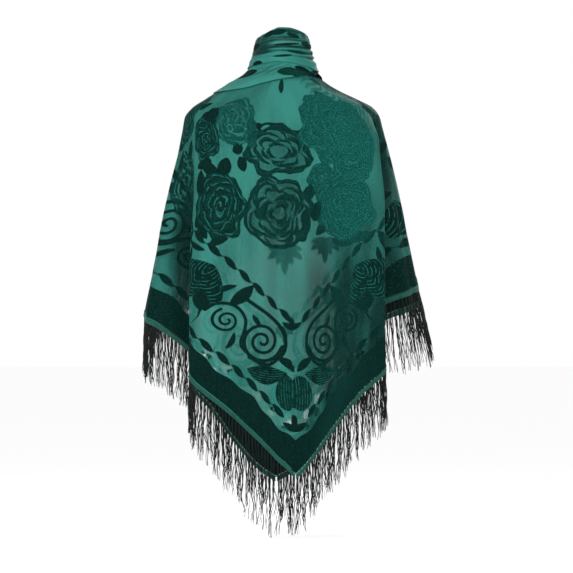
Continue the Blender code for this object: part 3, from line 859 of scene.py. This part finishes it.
def noise_wave(a, b, scale, seed):
    """A smooth uneven field from -1 to 1."""
    rng = np.random.default_rng(seed)
    out = np.zeros_like(a)
    for _ in range(5):
        turn, phase, stretch = rng.uniform(0, math.pi), rng.uniform(0, 6.3), rng.uniform(0.7, 1.5)
        out = out + np.sin((a * math.cos(turn) + b * math.sin(turn)) / scale * stretch + phase)
    return out / 3.2


def cloth_tones(places, guide, z):
    """Painted shade of the sheer ground, and painted sheen of the pile, which is lighter on the right of the back."""
    across, up = places[:, 0], places[:, 1]
    back = (guide > BACK_FROM) & (guide < BACK_TO)
    # Painted shade: darker on the right of the back, on both wings and towards the hem, with random patches.
    right = np.where(back, ease((across - 25) / 90), 0)
    right_wing = 0.72 - 0.34 * ease((guide - 30.0) / 1.2)
    wing = np.where(guide >= BACK_TO, right_wing, np.where(guide < BACK_FROM, 0.30, 0.0))
    lower = ease((620 - up) / 300)
    patch = noise_wave(across, up, 38, 4)
    shade = 0.18 + 0.36 * right * (0.55 + 0.45 * lower) + wing + 0.12 * patch + 0.10 * lower
    # Painted light in the middle of the back.
    centre = np.exp(-(((across + 5) / 60) ** 2) - (((up - 780) / 60) ** 2))
    shade = shade - 0.30 * np.where(back, centre, 0)
    # The cloth lies in painted shadow behind the fold at the left of the back, with painted highlights on that fold's
    # ridge and on the left wing.
    shade = shade + 0.80 * np.exp(-(((guide - 10.1) / 0.8) ** 2)) * ease((-0.20 - z) / 0.15)
    shade = shade - 0.30 * np.exp(-(((guide - 14.1) / 0.5) ** 2)) * ease((-0.16 - z) / 0.10)
    shade = shade - 0.30 * np.exp(-(((guide - 8.6) / 0.5) ** 2)) * ease((-0.24 - z) / 0.10)
    # More painted shade on the lower right of the back.
    shade = shade + 0.34 * np.where(back, ease((across + 5) / 45) * lower, 0)
    # A painted highlight along the edge of the fold at the right of the back.
    shade = shade - 0.45 * np.exp(-(((guide - 22.45) / 0.10) ** 2)) * ease((-0.12 - z) / 0.05)
    # Painted shade in soft streaks stands for hanging folds, and painted light and shade in fine lines for wrinkles
    # over the right shoulder.
    shade = shade + 0.13 * noise_wave(across, up * 0.10, 9, 31) * ease((640 - up) / 120)
    wrinkled = np.where(back, ease((across - 45) / 40) * ease((z + 0.105) / 0.03), 0)
    wrinkle = wrinkled * np.sin((up - 0.75 * across + 6 * np.sin(across / 17)) / 2.6)
    shade = shade + 0.30 * wrinkle
    # Painted shade on the left shoulder, which is turned from the light.
    shade = shade + 0.22 * np.where(back, ease((-across - 50) / 60) * ease((up - 640) / 120), 0)
    # Painted sheen of the pile: lighter on the right of the back away from the hem, in patches, and along the painted
    # wrinkles.
    painted_sheen = 0.05 + 0.22 * wrinkle + np.where(back, 0.34 * right * (1 - 0.75 * lower) + 0.12 * right * patch, 0.02)
    return np.clip(shade, 0, 1), painted_sheen


# ------------------------------------------------------------------ materials


class Nodes:
    def __init__(self, name):
        self.material = bpy.data.materials.new(name)
        self.material.use_nodes = True
        self.tree = self.material.node_tree
        self.shader = self.tree.nodes["Principled BSDF"]

    def node(self, kind, **values):
        made = self.tree.nodes.new(kind)
        for key, value in values.items():
            setattr(made, key, value)
        return made

    def link(self, source, target):
        self.tree.links.new(source, target)

    def set(self, socket, value):
        if isinstance(value, bpy.types.NodeSocket):
            self.link(value, socket)
        else:
            socket.default_value = value

    def math(self, operation, a, b=0.0, c=0.0, clamp=False):
        made = self.node("ShaderNodeMath", operation=operation, use_clamp=clamp)
        for socket, value in zip(made.inputs, (a, b, c)):
            self.set(socket, value)
        return made.outputs[0]

    def vary(self, value, amount, base, clamp=False):
        """The base, moved by as much as a noise lies above or below its middle."""
        return self.math("MULTIPLY_ADD", self.math("SUBTRACT", value, 0.5), amount, base, clamp)

    def attribute(self, name):
        return self.node("ShaderNodeAttribute", attribute_name=name).outputs["Fac"]

    def mix(self, share, a, b):
        made = self.node("ShaderNodeMix", data_type="RGBA")
        self.set(made.inputs[0], share)
        self.set(made.inputs[6], (*a, 1) if isinstance(a, tuple) else a)
        self.set(made.inputs[7], (*b, 1) if isinstance(b, tuple) else b)
        return made.outputs[2]

    def blend(self, share, a, b):
        made = self.node("ShaderNodeMix", data_type="FLOAT")
        for k, value in ((0, share), (2, a), (3, b)):
            self.set(made.inputs[k], value)
        return made.outputs[0]

    def between(self, value, low, high):
        made = self.node("ShaderNodeMapRange", interpolation_type="SMOOTHSTEP")
        self.set(made.inputs[0], value)
        self.set(made.inputs[1], low)
        self.set(made.inputs[2], high)
        return made.outputs[0]

    def noise(self, where, scale, detail=2.0, roughness=0.55):
        made = self.node("ShaderNodeTexNoise")
        self.link(where, made.inputs["Vector"])
        made.inputs["Scale"].default_value = scale
        made.inputs["Detail"].default_value = detail
        made.inputs["Roughness"].default_value = roughness
        return made.outputs[0]

    def stretched(self, where, x, y):
        made = self.node("ShaderNodeMapping")
        self.link(where, made.inputs["Vector"])
        made.inputs["Scale"].default_value = (x, y, 1)
        return made.outputs[0]

    def waves(self, where, scale, direction):
        made = self.node("ShaderNodeTexWave", bands_direction=direction)
        self.link(where, made.inputs["Vector"])
        made.inputs["Scale"].default_value = scale
        made.inputs["Distortion"].default_value = 0.6
        made.inputs["Detail"].default_value = 1
        made.inputs["Detail Scale"].default_value = 2
        return made.outputs["Fac"]

    def bump(self, height, strength, distance):
        made = self.node("ShaderNodeBump")
        made.inputs["Strength"].default_value = strength
        made.inputs["Distance"].default_value = distance
        self.link(height, made.inputs["Height"])
        return made.outputs[0]


def linear(red, green, blue):
    """Scene colour of 8-bit red, green and blue."""
    return tuple(((v / 255 + 0.055) / 1.055) ** 2.4 if v > 10 else v / 255 / 12.92 for v in (red, green, blue))


# The ground lit and in painted shade (its crossing threads take the darker colour too), and the pile without and with
# painted sheen; the burnt-out lines; the painted glints of the pile.
GROUND_LIGHT, GROUND_DARK = linear(48, 122, 112), linear(6, 44, 40)
PILE_DARK, PILE_LIGHT = linear(0, 20, 17), linear(3, 56, 50)
LINE_COLOUR, GLINT_COLOUR = linear(30, 100, 92), linear(52, 142, 130)
BRAID_COLOUR, BRAID_SHADE = linear(34, 96, 82), linear(6, 44, 37)
THREAD_COLOUR, THREAD_SHADE = linear(6, 24, 21), linear(1, 6, 5)


def devore(name, ground_alpha):
    n = Nodes(name)
    where = n.node("ShaderNodeUVMap").outputs[0]
    pile, lines, tone, shade, clear = (n.attribute(key) for key in ("pile", "lines", "tone", "shade", "thin"))
    fuzz = n.noise(where, 900, 2)
    mask = n.between(n.vary(fuzz, 1.6, pile), -0.55, 0.55)
    # Fine lines where the pile is burnt out between petals.
    phase = n.math("ABSOLUTE", n.math("SUBTRACT", n.math("FRACT", n.math("ADD", lines, 0.5)), 0.5))
    drawn = n.between(n.vary(fuzz, 0.08, phase), 0.12, 0.04)
    drawn = n.math("MULTIPLY", drawn, n.between(n.noise(where, 75, 2), 0.40, 0.54))
    # The ground: a sheer weave whose threads cross.
    weave = n.math("MULTIPLY", n.waves(where, 420, "X"), n.waves(where, 420, "Y"))
    cloud = n.noise(n.stretched(where, 1.0, 0.25), 30, 3)
    # Painted shade darkens the ground, unevenly in cloudy patches.
    darker = n.vary(cloud, 0.5, shade, clamp=True)
    ground = n.mix(darker, GROUND_LIGHT, GROUND_DARK)
    ground = n.mix(n.math("MULTIPLY", weave, 0.30), ground, GROUND_DARK)
    # The pile: dark, lighter with its tone, which paints its sheen, and with painted glints as specks of lit pile
    # ends.
    tufts = n.noise(where, 520, 3, 0.7)
    streaks = n.noise(n.stretched(where, 1.0, 0.12), 160, 3)
    painted_sheen = n.vary(streaks, 0.22, tone, clamp=True)
    velvet = n.mix(painted_sheen, PILE_DARK, PILE_LIGHT)
    painted_glints = n.math("MULTIPLY", n.between(tufts, 0.54, 0.66), n.math("MULTIPLY_ADD", tone, 0.85, 0.10, clamp=True))
    velvet = n.mix(painted_glints, velvet, GLINT_COLOUR)
    velvet = n.mix(n.math("MULTIPLY", drawn, n.math("MULTIPLY_ADD", tone, -0.60, 0.85)), velvet, LINE_COLOUR)
    n.link(n.mix(mask, ground, velvet), n.shader.inputs["Base Color"])
    n.link(n.blend(mask, 0.48, 0.88), n.shader.inputs["Roughness"])
    thin = n.vary(cloud, -0.10, ground_alpha)
    strands = n.between(n.noise(n.stretched(where, 1.0, 0.2), 170, 2), 0.38, 0.62)
    thin = n.math("SUBTRACT", thin, n.math("MULTIPLY", clear, n.math("MULTIPLY_ADD", strands, 0.35, 0.50)), clamp=True)
    n.link(n.blend(mask, thin, 1.0), n.shader.inputs["Alpha"])
    height = n.math("ADD", mask, n.math("MULTIPLY", n.blend(mask, weave, tufts), 0.35))
    n.link(n.bump(height, 0.55, 0.0007), n.shader.inputs["Normal"])
    n.shader.inputs["Sheen Weight"].default_value = 0.02
    n.shader.inputs["Sheen Roughness"].default_value = 0.30
    n.shader.inputs["Sheen Tint"].default_value = (*linear(60, 190, 165), 1)
    n.shader.inputs["Specular IOR Level"].default_value = 0.05
    return n.material


def yarn(name, light, dark, scale, roughness):
    n = Nodes(name)
    where = n.node("ShaderNodeUVMap").outputs[0]
    twist = n.waves(where, scale, "DIAGONAL")
    lots = n.noise(where, 45, 3)
    colour = n.mix(n.math("MULTIPLY_ADD", lots, 0.8, n.math("MULTIPLY", twist, 0.35), clamp=True), light, dark)
    n.link(colour, n.shader.inputs["Base Color"])
    n.link(n.blend(lots, roughness - 0.1, roughness + 0.15), n.shader.inputs["Roughness"])
    n.link(n.bump(twist, 0.6, 0.0004), n.shader.inputs["Normal"])
    n.shader.inputs["Sheen Weight"].default_value = 0.04
    n.shader.inputs["Sheen Roughness"].default_value = 0.4
    n.shader.inputs["Specular IOR Level"].default_value = 0.15
    return n.material


# ------------------------------------------------------------------ the cloth wound round the neck

# Finer pleats between the main ones: height at the left, back, right and front, half width and how far out (mm).
FINE_PLEATS = (
    (88, 92, 84, 60, 1.4, 0.5),
    (72, 87, 79, 56, 1.6, 0.7),
    (61, 75, 67, 49, 1.6, 0.8),
    (52, 60, 56, 40, 1.3, 0.9),
    (49, 57, 52, 38, 1.2, -0.8),
    (42, 48.5, 43, 33, 1.2, 0.8),
    (33, 38.5, 31, 24, 1.2, -0.8),
    (30, 36, 28, 21, 1.3, 0.7),
    (22, 28.5, 19, 14, 1.3, 0.8),
)
WRAP_STEPS, NECK_STEPS, SHOULDER_STEPS = 300, 84, 62  # round the neck, and down each turn
MM_A_DEGREE = 1.05


def fine_pleated(angle, z):
    point, normal = pleated(angle, z), wrap_base(angle, z)[1]
    turn = np.radians(angle)
    depth = 0.8 + 0.5 * ease((angle + 40) / 30)
    out = np.zeros_like(z)
    for *heights, width, height in FINE_PLEATS:
        crest = pleat_crest(turn, *heights) + 1.2 * np.sin(3 * turn + heights[0])
        out = out + height * depth * np.exp(-(((z * 1000 - crest) / width) ** 2))
    gathers = 0.5 * np.sin(angle / 3.1 + 0.4 * np.sin(angle / 17)) * ease((z - edge("rim", angle) + 0.016) / 0.012)
    return point + normal * (out + gathers)[..., None] / 1000 - normal * WRAP_WALL / 2


def ring_faces(columns, rows):
    faces = []
    for i in range(columns):
        here, there = i * rows, (i + 1) % columns * rows
        faces.extend((here + k, here + k + 1, there + k + 1, there + k) for k in range(rows - 1))
    return faces


def wrap_floats(pattern, columns, rows, shade):
    count = columns * rows
    return {"pile": np.clip(pattern.pile, -6, 6), "lines": pattern.lines, "tone": pattern.tone,
            "shade": np.broadcast_to(shade, count)}


# Leaves and petals on the wound cloth: degrees round, height, turn, length, width and bend (mm), how light.
NECK_LEAVES = (
    (-12, 88, 5, 44, 14, 0, 0.1), (-34, 84, 20, 30, 14, 0, 0.05), (24, 80, -15, 34, 10, 0, 0.15),
    (-50, 22, 10, 26, 12, 0, 0.0), (-28, 17, 170, 30, 12, 2, 0.0), (8, 62, 3, 60, 5, 0, 0.1),
    (30, 45, -8, 48, 6, 0, 0.2), (0, 38, 4, 40, 5, 0, 0.1), (64, 60, -10, 50, 14, 0, 0.2),
    (100, 40, -10, 60, 18, 0, 0.1), (140, 45, 10, 60, 16, 0, 0.1), (-80, 55, 12, 56, 16, 0, 0.05),
    (-115, 40, 10, 60, 18, 0, 0.05), (-150, 30, 5, 50, 16, 0, 0.1),
)
SHOULDER_LEAVES = (
    (8, 6, 2, 36, 17, 0, 0.25), (24, 3, -6, 40, 18, 0, 0.3), (36, 10, -20, 34, 12, 0, 0.0),
    (60, -2, 10, 60, 20, 0, 0.2), (-70, 0, 12, 60, 20, 0, 0.05), (95, -6, 8, 60, 22, 0, 0.1),
    (130, -10, -8, 60, 20, 0, 0.1), (-110, -8, 8, 70, 22, 0, 0.1), (-150, -14, -6, 60, 20, 0, 0.1),
    (170, -16, 5, 60, 18, 0, 0.1),
)


def wrap_pattern(places, leaves):
    pattern = Pile(places)
    for angle, height, turn, long, wide, bend, tone in leaves:
        for lap in (-360, 0, 360):
            pattern.leaf((angle + lap) * MM_A_DEGREE, height, turn, long, wide, bend, tone, blunt=0.7)
    return pattern


def neck_sheet(cloth):
    angle = np.linspace(-180, 180, WRAP_STEPS + 1)[:-1]
    rows = NECK_STEPS
    share = np.linspace(0, 1, rows)
    z = edge("rim", angle)[:, None] + (edge("neck", angle) - edge("rim", angle))[:, None] * share[None, :]
    angles = np.broadcast_to(angle[:, None], z.shape)
    outside = fine_pleated(angles, z)
    # The cloth turns over at the rim and runs down inside.
    rim = edge("rim", angle)
    top, out = wrap_base(angle, rim)
    lift = np.array([0, 0, 1.0])
    inner_x = WRAP_WALL * 1.5 + RIM_TURN
    start = outside[:, 0]
    lining = [top - lift * RIM_INSIDE * k / 6 - out * inner_x for k in range(6, 0, -1)]
    curve = []
    for k in range(9):
        turn = math.pi * k / 8
        middle = (start + top - out * inner_x) / 2
        half = (top - out * inner_x - start) / 2
        curve.append(middle + half * math.cos(turn) + lift * (RIM_TURN + WRAP_WALL / 2) * math.sin(turn))
    points = np.concatenate([np.stack(lining + curve[:-1], axis=1), outside], axis=1)
    columns, all_rows = points.shape[:2]
    inside_rows = all_rows - rows
    height = np.concatenate([np.full((columns, inside_rows), 0.0) + rim[:, None] + 0.004, z], axis=1) * 1000
    around = np.broadcast_to(angle[:, None] * MM_A_DEGREE, height.shape)
    places = np.stack([around, height], axis=-1).reshape(-1, 2)
    pattern = wrap_pattern(places, NECK_LEAVES)
    # Painted shade: darker in the troughs of the pleats and on the inside of the turn, and where the cloth turns away
    # round the sides, with random patches.
    proud = np.einsum("ijk,ijk->ij", outside - wrap_base(angles, z)[0], wrap_base(angles, z)[1]) * 1000
    trough = np.concatenate([np.full((columns, inside_rows), 0.5), ease((1.9 - proud) / 2.6)], axis=1).ravel()
    turned_away = np.abs(np.sin(np.radians(places[:, 0] / MM_A_DEGREE)))
    patch = noise_wave(places[:, 0], places[:, 1] * 3, 20, 9)
    shade = np.clip(0.10 + 0.85 * trough + 0.15 * turned_away + 0.1 * patch, 0, 1)
    made = add_mesh("neck_turn", points.reshape(-1, 3), ring_faces(columns, all_rows), cloth,
                    wrap_floats(pattern, columns, all_rows, shade), places * [0.001, 0.0025])
    return finished(made, ("neck_wrap",))


# Creases of the turn over the shoulders: degrees round and height at both ends, half width, how far out (mm).
SHOULDER_CREASES = (
    (38, 8, 74, -22, 3.0, 1.4), (52, 10, 88, -14, 2.6, -1.2), (60, 4, 100, -20, 2.8, 1.3),
    (-30, 16, -78, -16, 4.0, 1.2), (-20, 10, -66, -26, 3.4, -1.0), (-5, 18, -52, 2, 3.0, 0.9),
    (10, 17, -20, 2, 2.6, 0.7), (12, 14, 34, 4, 2.4, 0.8), (120, 0, 170, -24, 4.0, 1.4),
    (-120, 0, -170, -24, 4.0, 1.4), (-95, 8, -140, -22, 3.6, -1.1), (140, 2, 100, -14, 3.0, 1.0),
)


def shoulder_sheet(cloth):
    angle = np.linspace(-180, 180, WRAP_STEPS + 1)[:-1]
    share = np.linspace(0, 1, SHOULDER_STEPS)
    top, bottom = edge("neck", angle) + UNDER, edge("shoulder", angle)
    z = top[:, None] + (bottom - top)[:, None] * share[None, :]
    angles = np.broadcast_to(angle[:, None], z.shape)
    points = over_shoulders(angles, z)
    out = normals(over_shoulders, angles, z, step_first=0.5)
    move = np.full_like(z, -WRAP_WALL / 2)
    # Painted shade beside each crease.
    crease_shade = np.zeros_like(z)
    for a, za, b, zb, width, height in SHOULDER_CREASES:
        aside, past = beside_line((angles - a) * 1.3, z * 1000 - za, ((b - a) * 1.3, zb - za), 8)
        move = move + height / 1000 * np.exp(-((aside / width) ** 2) - past**2)
        crease_shade = crease_shade + 0.22 * np.exp(-(((np.abs(aside) - width * 1.3) / width) ** 2) * 2 - past**2)
    hidden = ease((z - edge("neck", angles) + 0.002) / 0.004)
    points = points + out * (move * (1 - hidden) - WRAP_WALL / 2 * hidden)[..., None]
    places = np.stack([angles * MM_A_DEGREE, z * 1000], axis=-1).reshape(-1, 2)
    pattern = wrap_pattern(places, SHOULDER_LEAVES)
    # Painted shade beside the creases and where the cloth turns away round the sides, with random patches.
    patch = noise_wave(places[:, 0], places[:, 1] * 2, 24, 12)
    turned_away = ease((np.abs(places[:, 0]) - 60) / 60)
    shade = np.clip(0.10 + crease_shade.ravel() + 0.10 * patch + 0.25 * turned_away, 0, 1)
    made = add_mesh("shoulder_turn", points.reshape(-1, 3), ring_faces(*z.shape), cloth,
                    wrap_floats(pattern, *z.shape, shade), places * [0.0015, 0.0015])
    return finished(made, ("shoulder_wrap",))


# ------------------------------------------------------------------ braid and fringe


def tubes(lines, radii, sides):
    """Thin tubes along lines, an array (tube, point, 3), with their faces and flat places."""
    count, steps = lines.shape[:2]
    run = np.gradient(lines, axis=1)
    run = run / np.linalg.norm(run, axis=2, keepdims=True)
    side = np.cross(run, np.array([0.3, -1.0, 0.15]))
    side = side / np.linalg.norm(side, axis=2, keepdims=True)
    other = np.cross(run, side)
    ring = np.linspace(0, 2 * math.pi, sides, endpoint=False)
    spokes = side[:, :, None] * np.cos(ring)[:, None] + other[:, :, None] * np.sin(ring)[:, None]
    points = lines[:, :, None] + radii[..., None, None] * spokes
    length = np.concatenate(
        [np.zeros((count, 1)), np.cumsum(np.linalg.norm(np.diff(lines, axis=1), axis=2), axis=1)], axis=1
    )
    uv = np.stack(
        [
            np.broadcast_to(np.arange(count)[:, None, None] * 0.013 + ring * 0.0008, (count, steps, sides)),
            np.broadcast_to(length[..., None], (count, steps, sides)),
        ],
        axis=-1,
    )
    base = (np.arange(count)[:, None, None] * steps + np.arange(steps - 1)[None, :, None]) * sides
    here, there = np.arange(sides), (np.arange(sides) + 1) % sides
    quads = np.stack([base + here, base + there, base + sides + there, base + sides + here], axis=-1).reshape(-1, 4)
    faces = quads.tolist()
    for t in range(count):
        first = t * steps * sides
        faces.append([first + k for k in range(sides)][::-1])
        last = first + (steps - 1) * sides
        faces.append([last + k for k in range(sides)])
    return points.reshape(-1, 3), faces, uv.reshape(-1, 2)


TASSEL_PITCH, STRANDS_EACH, STRAND_STEPS, STRAND_RADIUS = 0.0092, 3, 14, 0.00066


def hem_line(hem_of, guides, off):
    """Places of a hem from which the braid hangs: the middle of the layer's edge, and down along the cloth."""
    z = hem_of(guides)
    out = normals(surface, guides, z)
    across = np.interp(guides, GUIDES, ACROSS)
    point = surface(guides, z) + out * (off + creased(across, z))[..., None]
    above = surface(guides, z + 0.004) + out * (off + creased(across, z))[..., None]
    down = point - above
    return point, down / -down[:, 2:3], out


def fringe_threads(name, hem_of, off, ends, seed, yarn_of, node):
    rng = np.random.default_rng(seed)
    fine = np.linspace(*ends, 1600)
    length = travelled(hem_line(hem_of, fine, off)[0])
    tassels = int(length[-1] / TASSEL_PITCH)
    middles = (np.arange(tassels) + 0.5) * length[-1] / tassels
    places, owners = [], []
    for k in range(STRANDS_EACH):
        places.append(middles + (k - (STRANDS_EACH - 1) / 2) * TASSEL_PITCH * 0.21 + rng.normal(0, 0.0003, tassels))
        owners.append(np.arange(tassels))
    place, owner = np.clip(np.concatenate(places), 0, length[-1]), np.concatenate(owners)
    at = np.interp(place, length, fine)
    root, down, out = hem_line(hem_of, at, off)
    follow = np.maximum(ease((root[:, 0] - 0.12) / 0.10), ease((root[:, 1] - 0.02) / 0.05))
    lean = LEAN + (1 - LEAN) * follow
    hang = down * np.stack([lean, lean, np.ones_like(lean)], axis=1)
    along = np.gradient(surface(fine, hem_of(fine)), axis=0)
    along = along / np.linalg.norm(along, axis=1, keepdims=True)
    along = np.stack([np.interp(at, fine, along[:, k]) for k in range(3)], axis=1)
    along[:, 2] = 0
    along = along / np.maximum(np.linalg.norm(along, axis=1, keepdims=True), 1e-6)
    flat_out = out * np.array([1, 1, 0])
    share = np.linspace(0, 1, STRAND_STEPS)
    drop = BRAID_HEIGHT + SEAM * 1.5 - 0.002
    reach = FRINGE_LENGTH * (0.97 + rng.uniform(-0.07, 0.05, tassels)[owner] + rng.uniform(-0.02, 0.02, len(owner)))
    sway_a = rng.normal(0, 0.0042, tassels)[owner]
    sway_phase = rng.uniform(0, 6.3, tassels)[owner]
    own_phase = rng.uniform(0, 6.3, len(owner))
    tilt = rng.normal(0, 0.0040, tassels)[owner] + rng.normal(0, 0.0016, len(owner))
    depth = rng.normal(0, 0.0016, len(owner))
    s = share[None, :]
    sideways = (
        sway_a[:, None] * np.sin(sway_phase[:, None] + s * 5.5) * s * 0.8
        + tilt[:, None] * s**1.3
        + 0.0013 * np.sin(own_phase[:, None] + s * 15) * np.minimum(s * 3, 1)
    )
    outward = depth[:, None] * s + 0.0010 * np.cos(own_phase[:, None] * 1.7 + s * 13) * np.minimum(s * 3, 1)
    lines = (
        root[:, None]
        + hang[:, None] * (drop + reach[:, None] * s)[..., None]
        + along[:, None] * sideways[..., None]
        + flat_out[:, None] * outward[..., None]
    )
    radii = STRAND_RADIUS * (1.08 - 0.45 * s**3) * np.ones((len(owner), 1))
    points, faces, uv = tubes(lines, radii, 4)
    made = add_mesh(name, points, faces, yarn_of, {}, uv)
    return finished(made, (node,))


def braid(name, hem_of, off, ends, woven):
    """Two rolled cords with a flat woven strip between them, as one closed strip along the hem."""
    fine = np.linspace(*ends, 1600)
    length = travelled(hem_line(hem_of, fine, off)[0])
    steps = int(length[-1] / 0.0022)
    at = np.interp(np.linspace(0, length[-1], steps), length, fine)
    point, down, out = hem_line(hem_of, at, off)
    slant = down / np.linalg.norm(down, axis=1, keepdims=True)
    # Profile: down along the cloth and out from its middle, mm.
    profile = (
        (-1.2, 0.30), (-0.4, 1.05), (0.9, 1.45), (2.2, 1.05), (3.0, 0.65), (4.4, 0.55), (5.8, 0.65), (6.6, 1.05),
        (7.8, 1.45), (9.0, 0.80), (9.0, -0.80), (7.8, -1.05), (4.4, -0.85), (0.9, -1.05), (-0.6, -0.90),
    )
    beat = np.sin(np.linspace(0, length[-1], steps) / 0.0046 * 2 * math.pi)
    rows = []
    for low, thick in profile:
        proud = 0.16 * beat * (1 if low < 4.4 else -1) * (abs(thick) > 1)
        rows.append(point + slant * low / 1000 + out * ((thick + proud * np.sign(thick)) / 1000)[:, None])
    points = np.stack(rows, axis=1)
    rows = len(profile)
    faces = []
    for i in range(steps - 1):
        for k in range(rows):
            n = (k + 1) % rows
            faces.append((i * rows + k, i * rows + n, (i + 1) * rows + n, (i + 1) * rows + k))
    faces.append(tuple(range(rows))[::-1])
    faces.append(tuple((steps - 1) * rows + k for k in range(rows)))
    uv = np.stack(
        [np.broadcast_to(np.linspace(0, length[-1], steps)[:, None], (steps, rows)),
         np.broadcast_to(np.arange(rows) * 0.0016, (steps, rows))], axis=-1
    ).reshape(-1, 2)
    made = add_mesh(name, points.reshape(-1, 3), faces, woven, {}, uv)
    return finished(made)


# ------------------------------------------------------------------ the whole

# How far the middle of each layer's solid lies out from the course.
OUTER_OFF, INNER_OFF = -OUTER_WALL / 2, -(OUTER_WALL + LAYER_GAP + INNER_WALL / 2)
OUTER_PITCHES, INNER_PITCHES = (0.0026, 0.0049, 0.0029), (0.0036, 0.0050, 0.0040)


def build():
    outer = cloth_layer("outer_half", outer_hem, CORNER_HEIGHT, OUTER_OFF, outer_pattern, OUTER_PITCHES,
                        devore("outer_devore", 0.76))
    inner = cloth_layer("inner_half", inner_hem, INNER_CORNER_HEIGHT, INNER_OFF, inner_pattern, INNER_PITCHES,
                        devore("inner_devore", 0.90))
    finished(outer, ("outer_layer",))
    finished(inner, ("inner_layer",))
    neck, shoulder = neck_sheet(devore("neck_devore", 0.98)), shoulder_sheet(devore("shoulder_devore", 0.97))
    start, end, gap = 3.0, len(COURSE) - 3.2, 0.02
    threads = yarn("fringe_thread", THREAD_COLOUR, THREAD_SHADE, 900, 0.55)
    woven = yarn("hem_braid", BRAID_COLOUR, BRAID_SHADE, 420, 0.6)
    pieces = {"outer": [], "inner": []}
    for layer, hem_of, off, corner in (
        ("outer", outer_hem, OUTER_OFF, CORNER), ("inner", inner_hem, INNER_OFF, INNER_CORNER)
    ):
        for side, ends in (("left", (start, corner - gap)), ("right", (corner + gap, end))):
            seed = 71 + len(pieces["outer"]) * 3 + len(pieces["inner"]) * 5
            pieces[layer] += [
                fringe_threads(f"{layer}_threads_{side}", hem_of, off, ends, seed, threads, f"fringe_{layer}_{side}"),
                braid(f"{layer}_braid_{side}", hem_of, off, ends, woven),
            ]


def studio():
    scene = bpy.context.scene
    scene.view_settings.view_transform = "Standard"
    world = bpy.data.worlds.new("studio")
    scene.world = world
    world.use_nodes = True
    world.node_tree.nodes["Background"].inputs[0].default_value = (1.0, 1.0, 1.0, 1)
    world.node_tree.nodes["Background"].inputs[1].default_value = 1.0
    mesh = bpy.data.meshes.new("floor")
    half, low = 30.0, -0.955
    corners = [(-half, -half, low), (half, -half, low), (half, half, low), (-half, half, low)]
    mesh.from_pydata(corners, [], [(0, 1, 2, 3)])
    floor = bpy.data.objects.new("floor", mesh)
    scene.collection.objects.link(floor)
    paint = Nodes("floor_paint")
    where = paint.node("ShaderNodeTexCoord").outputs["Object"]
    paint.link(paint.mix(paint.noise(where, 3, 2), (0.955, 0.955, 0.955), (0.975, 0.975, 0.975)),
               paint.shader.inputs["Base Color"])
    paint.shader.inputs["Roughness"].default_value = 0.9
    mesh.materials.append(paint.material)
    for name, place, size, power in (
        ("key", (-1.5, -2.6, 1.1), 1.4, 60), ("fill", (1.9, -2.4, 0.3), 1.6, 22), ("front", (0.6, 2.6, 1.2), 1.8, 30)
    ):
        lamp = bpy.data.lights.new(name, "AREA")
        lamp.size, lamp.energy = size, power
        made = bpy.data.objects.new(name, lamp)
        made.location = place
        made.rotation_mode = "QUATERNION"
        made.rotation_quaternion = (Vector((0, 0, -0.4)) - Vector(place)).to_track_quat("-Z", "Y")
        scene.collection.objects.link(made)
    eye = bpy.data.cameras.new("camera")
    distance = 14.0
    eye.lens, eye.sensor_width = 36 * distance / VIEW_WIDTH, 36
    eye.clip_end = 100
    camera = bpy.data.objects.new("camera", eye)
    camera.location = (VIEW_MIDDLE[0], -0.12 - distance, VIEW_MIDDLE[1])
    camera.rotation_euler = (math.radians(90), 0, 0)
    scene.collection.objects.link(camera)
    scene.camera = camera


VIEW_WIDTH, VIEW_MIDDLE = 1.1747, (0.0072, -0.4373)
build()
studio()
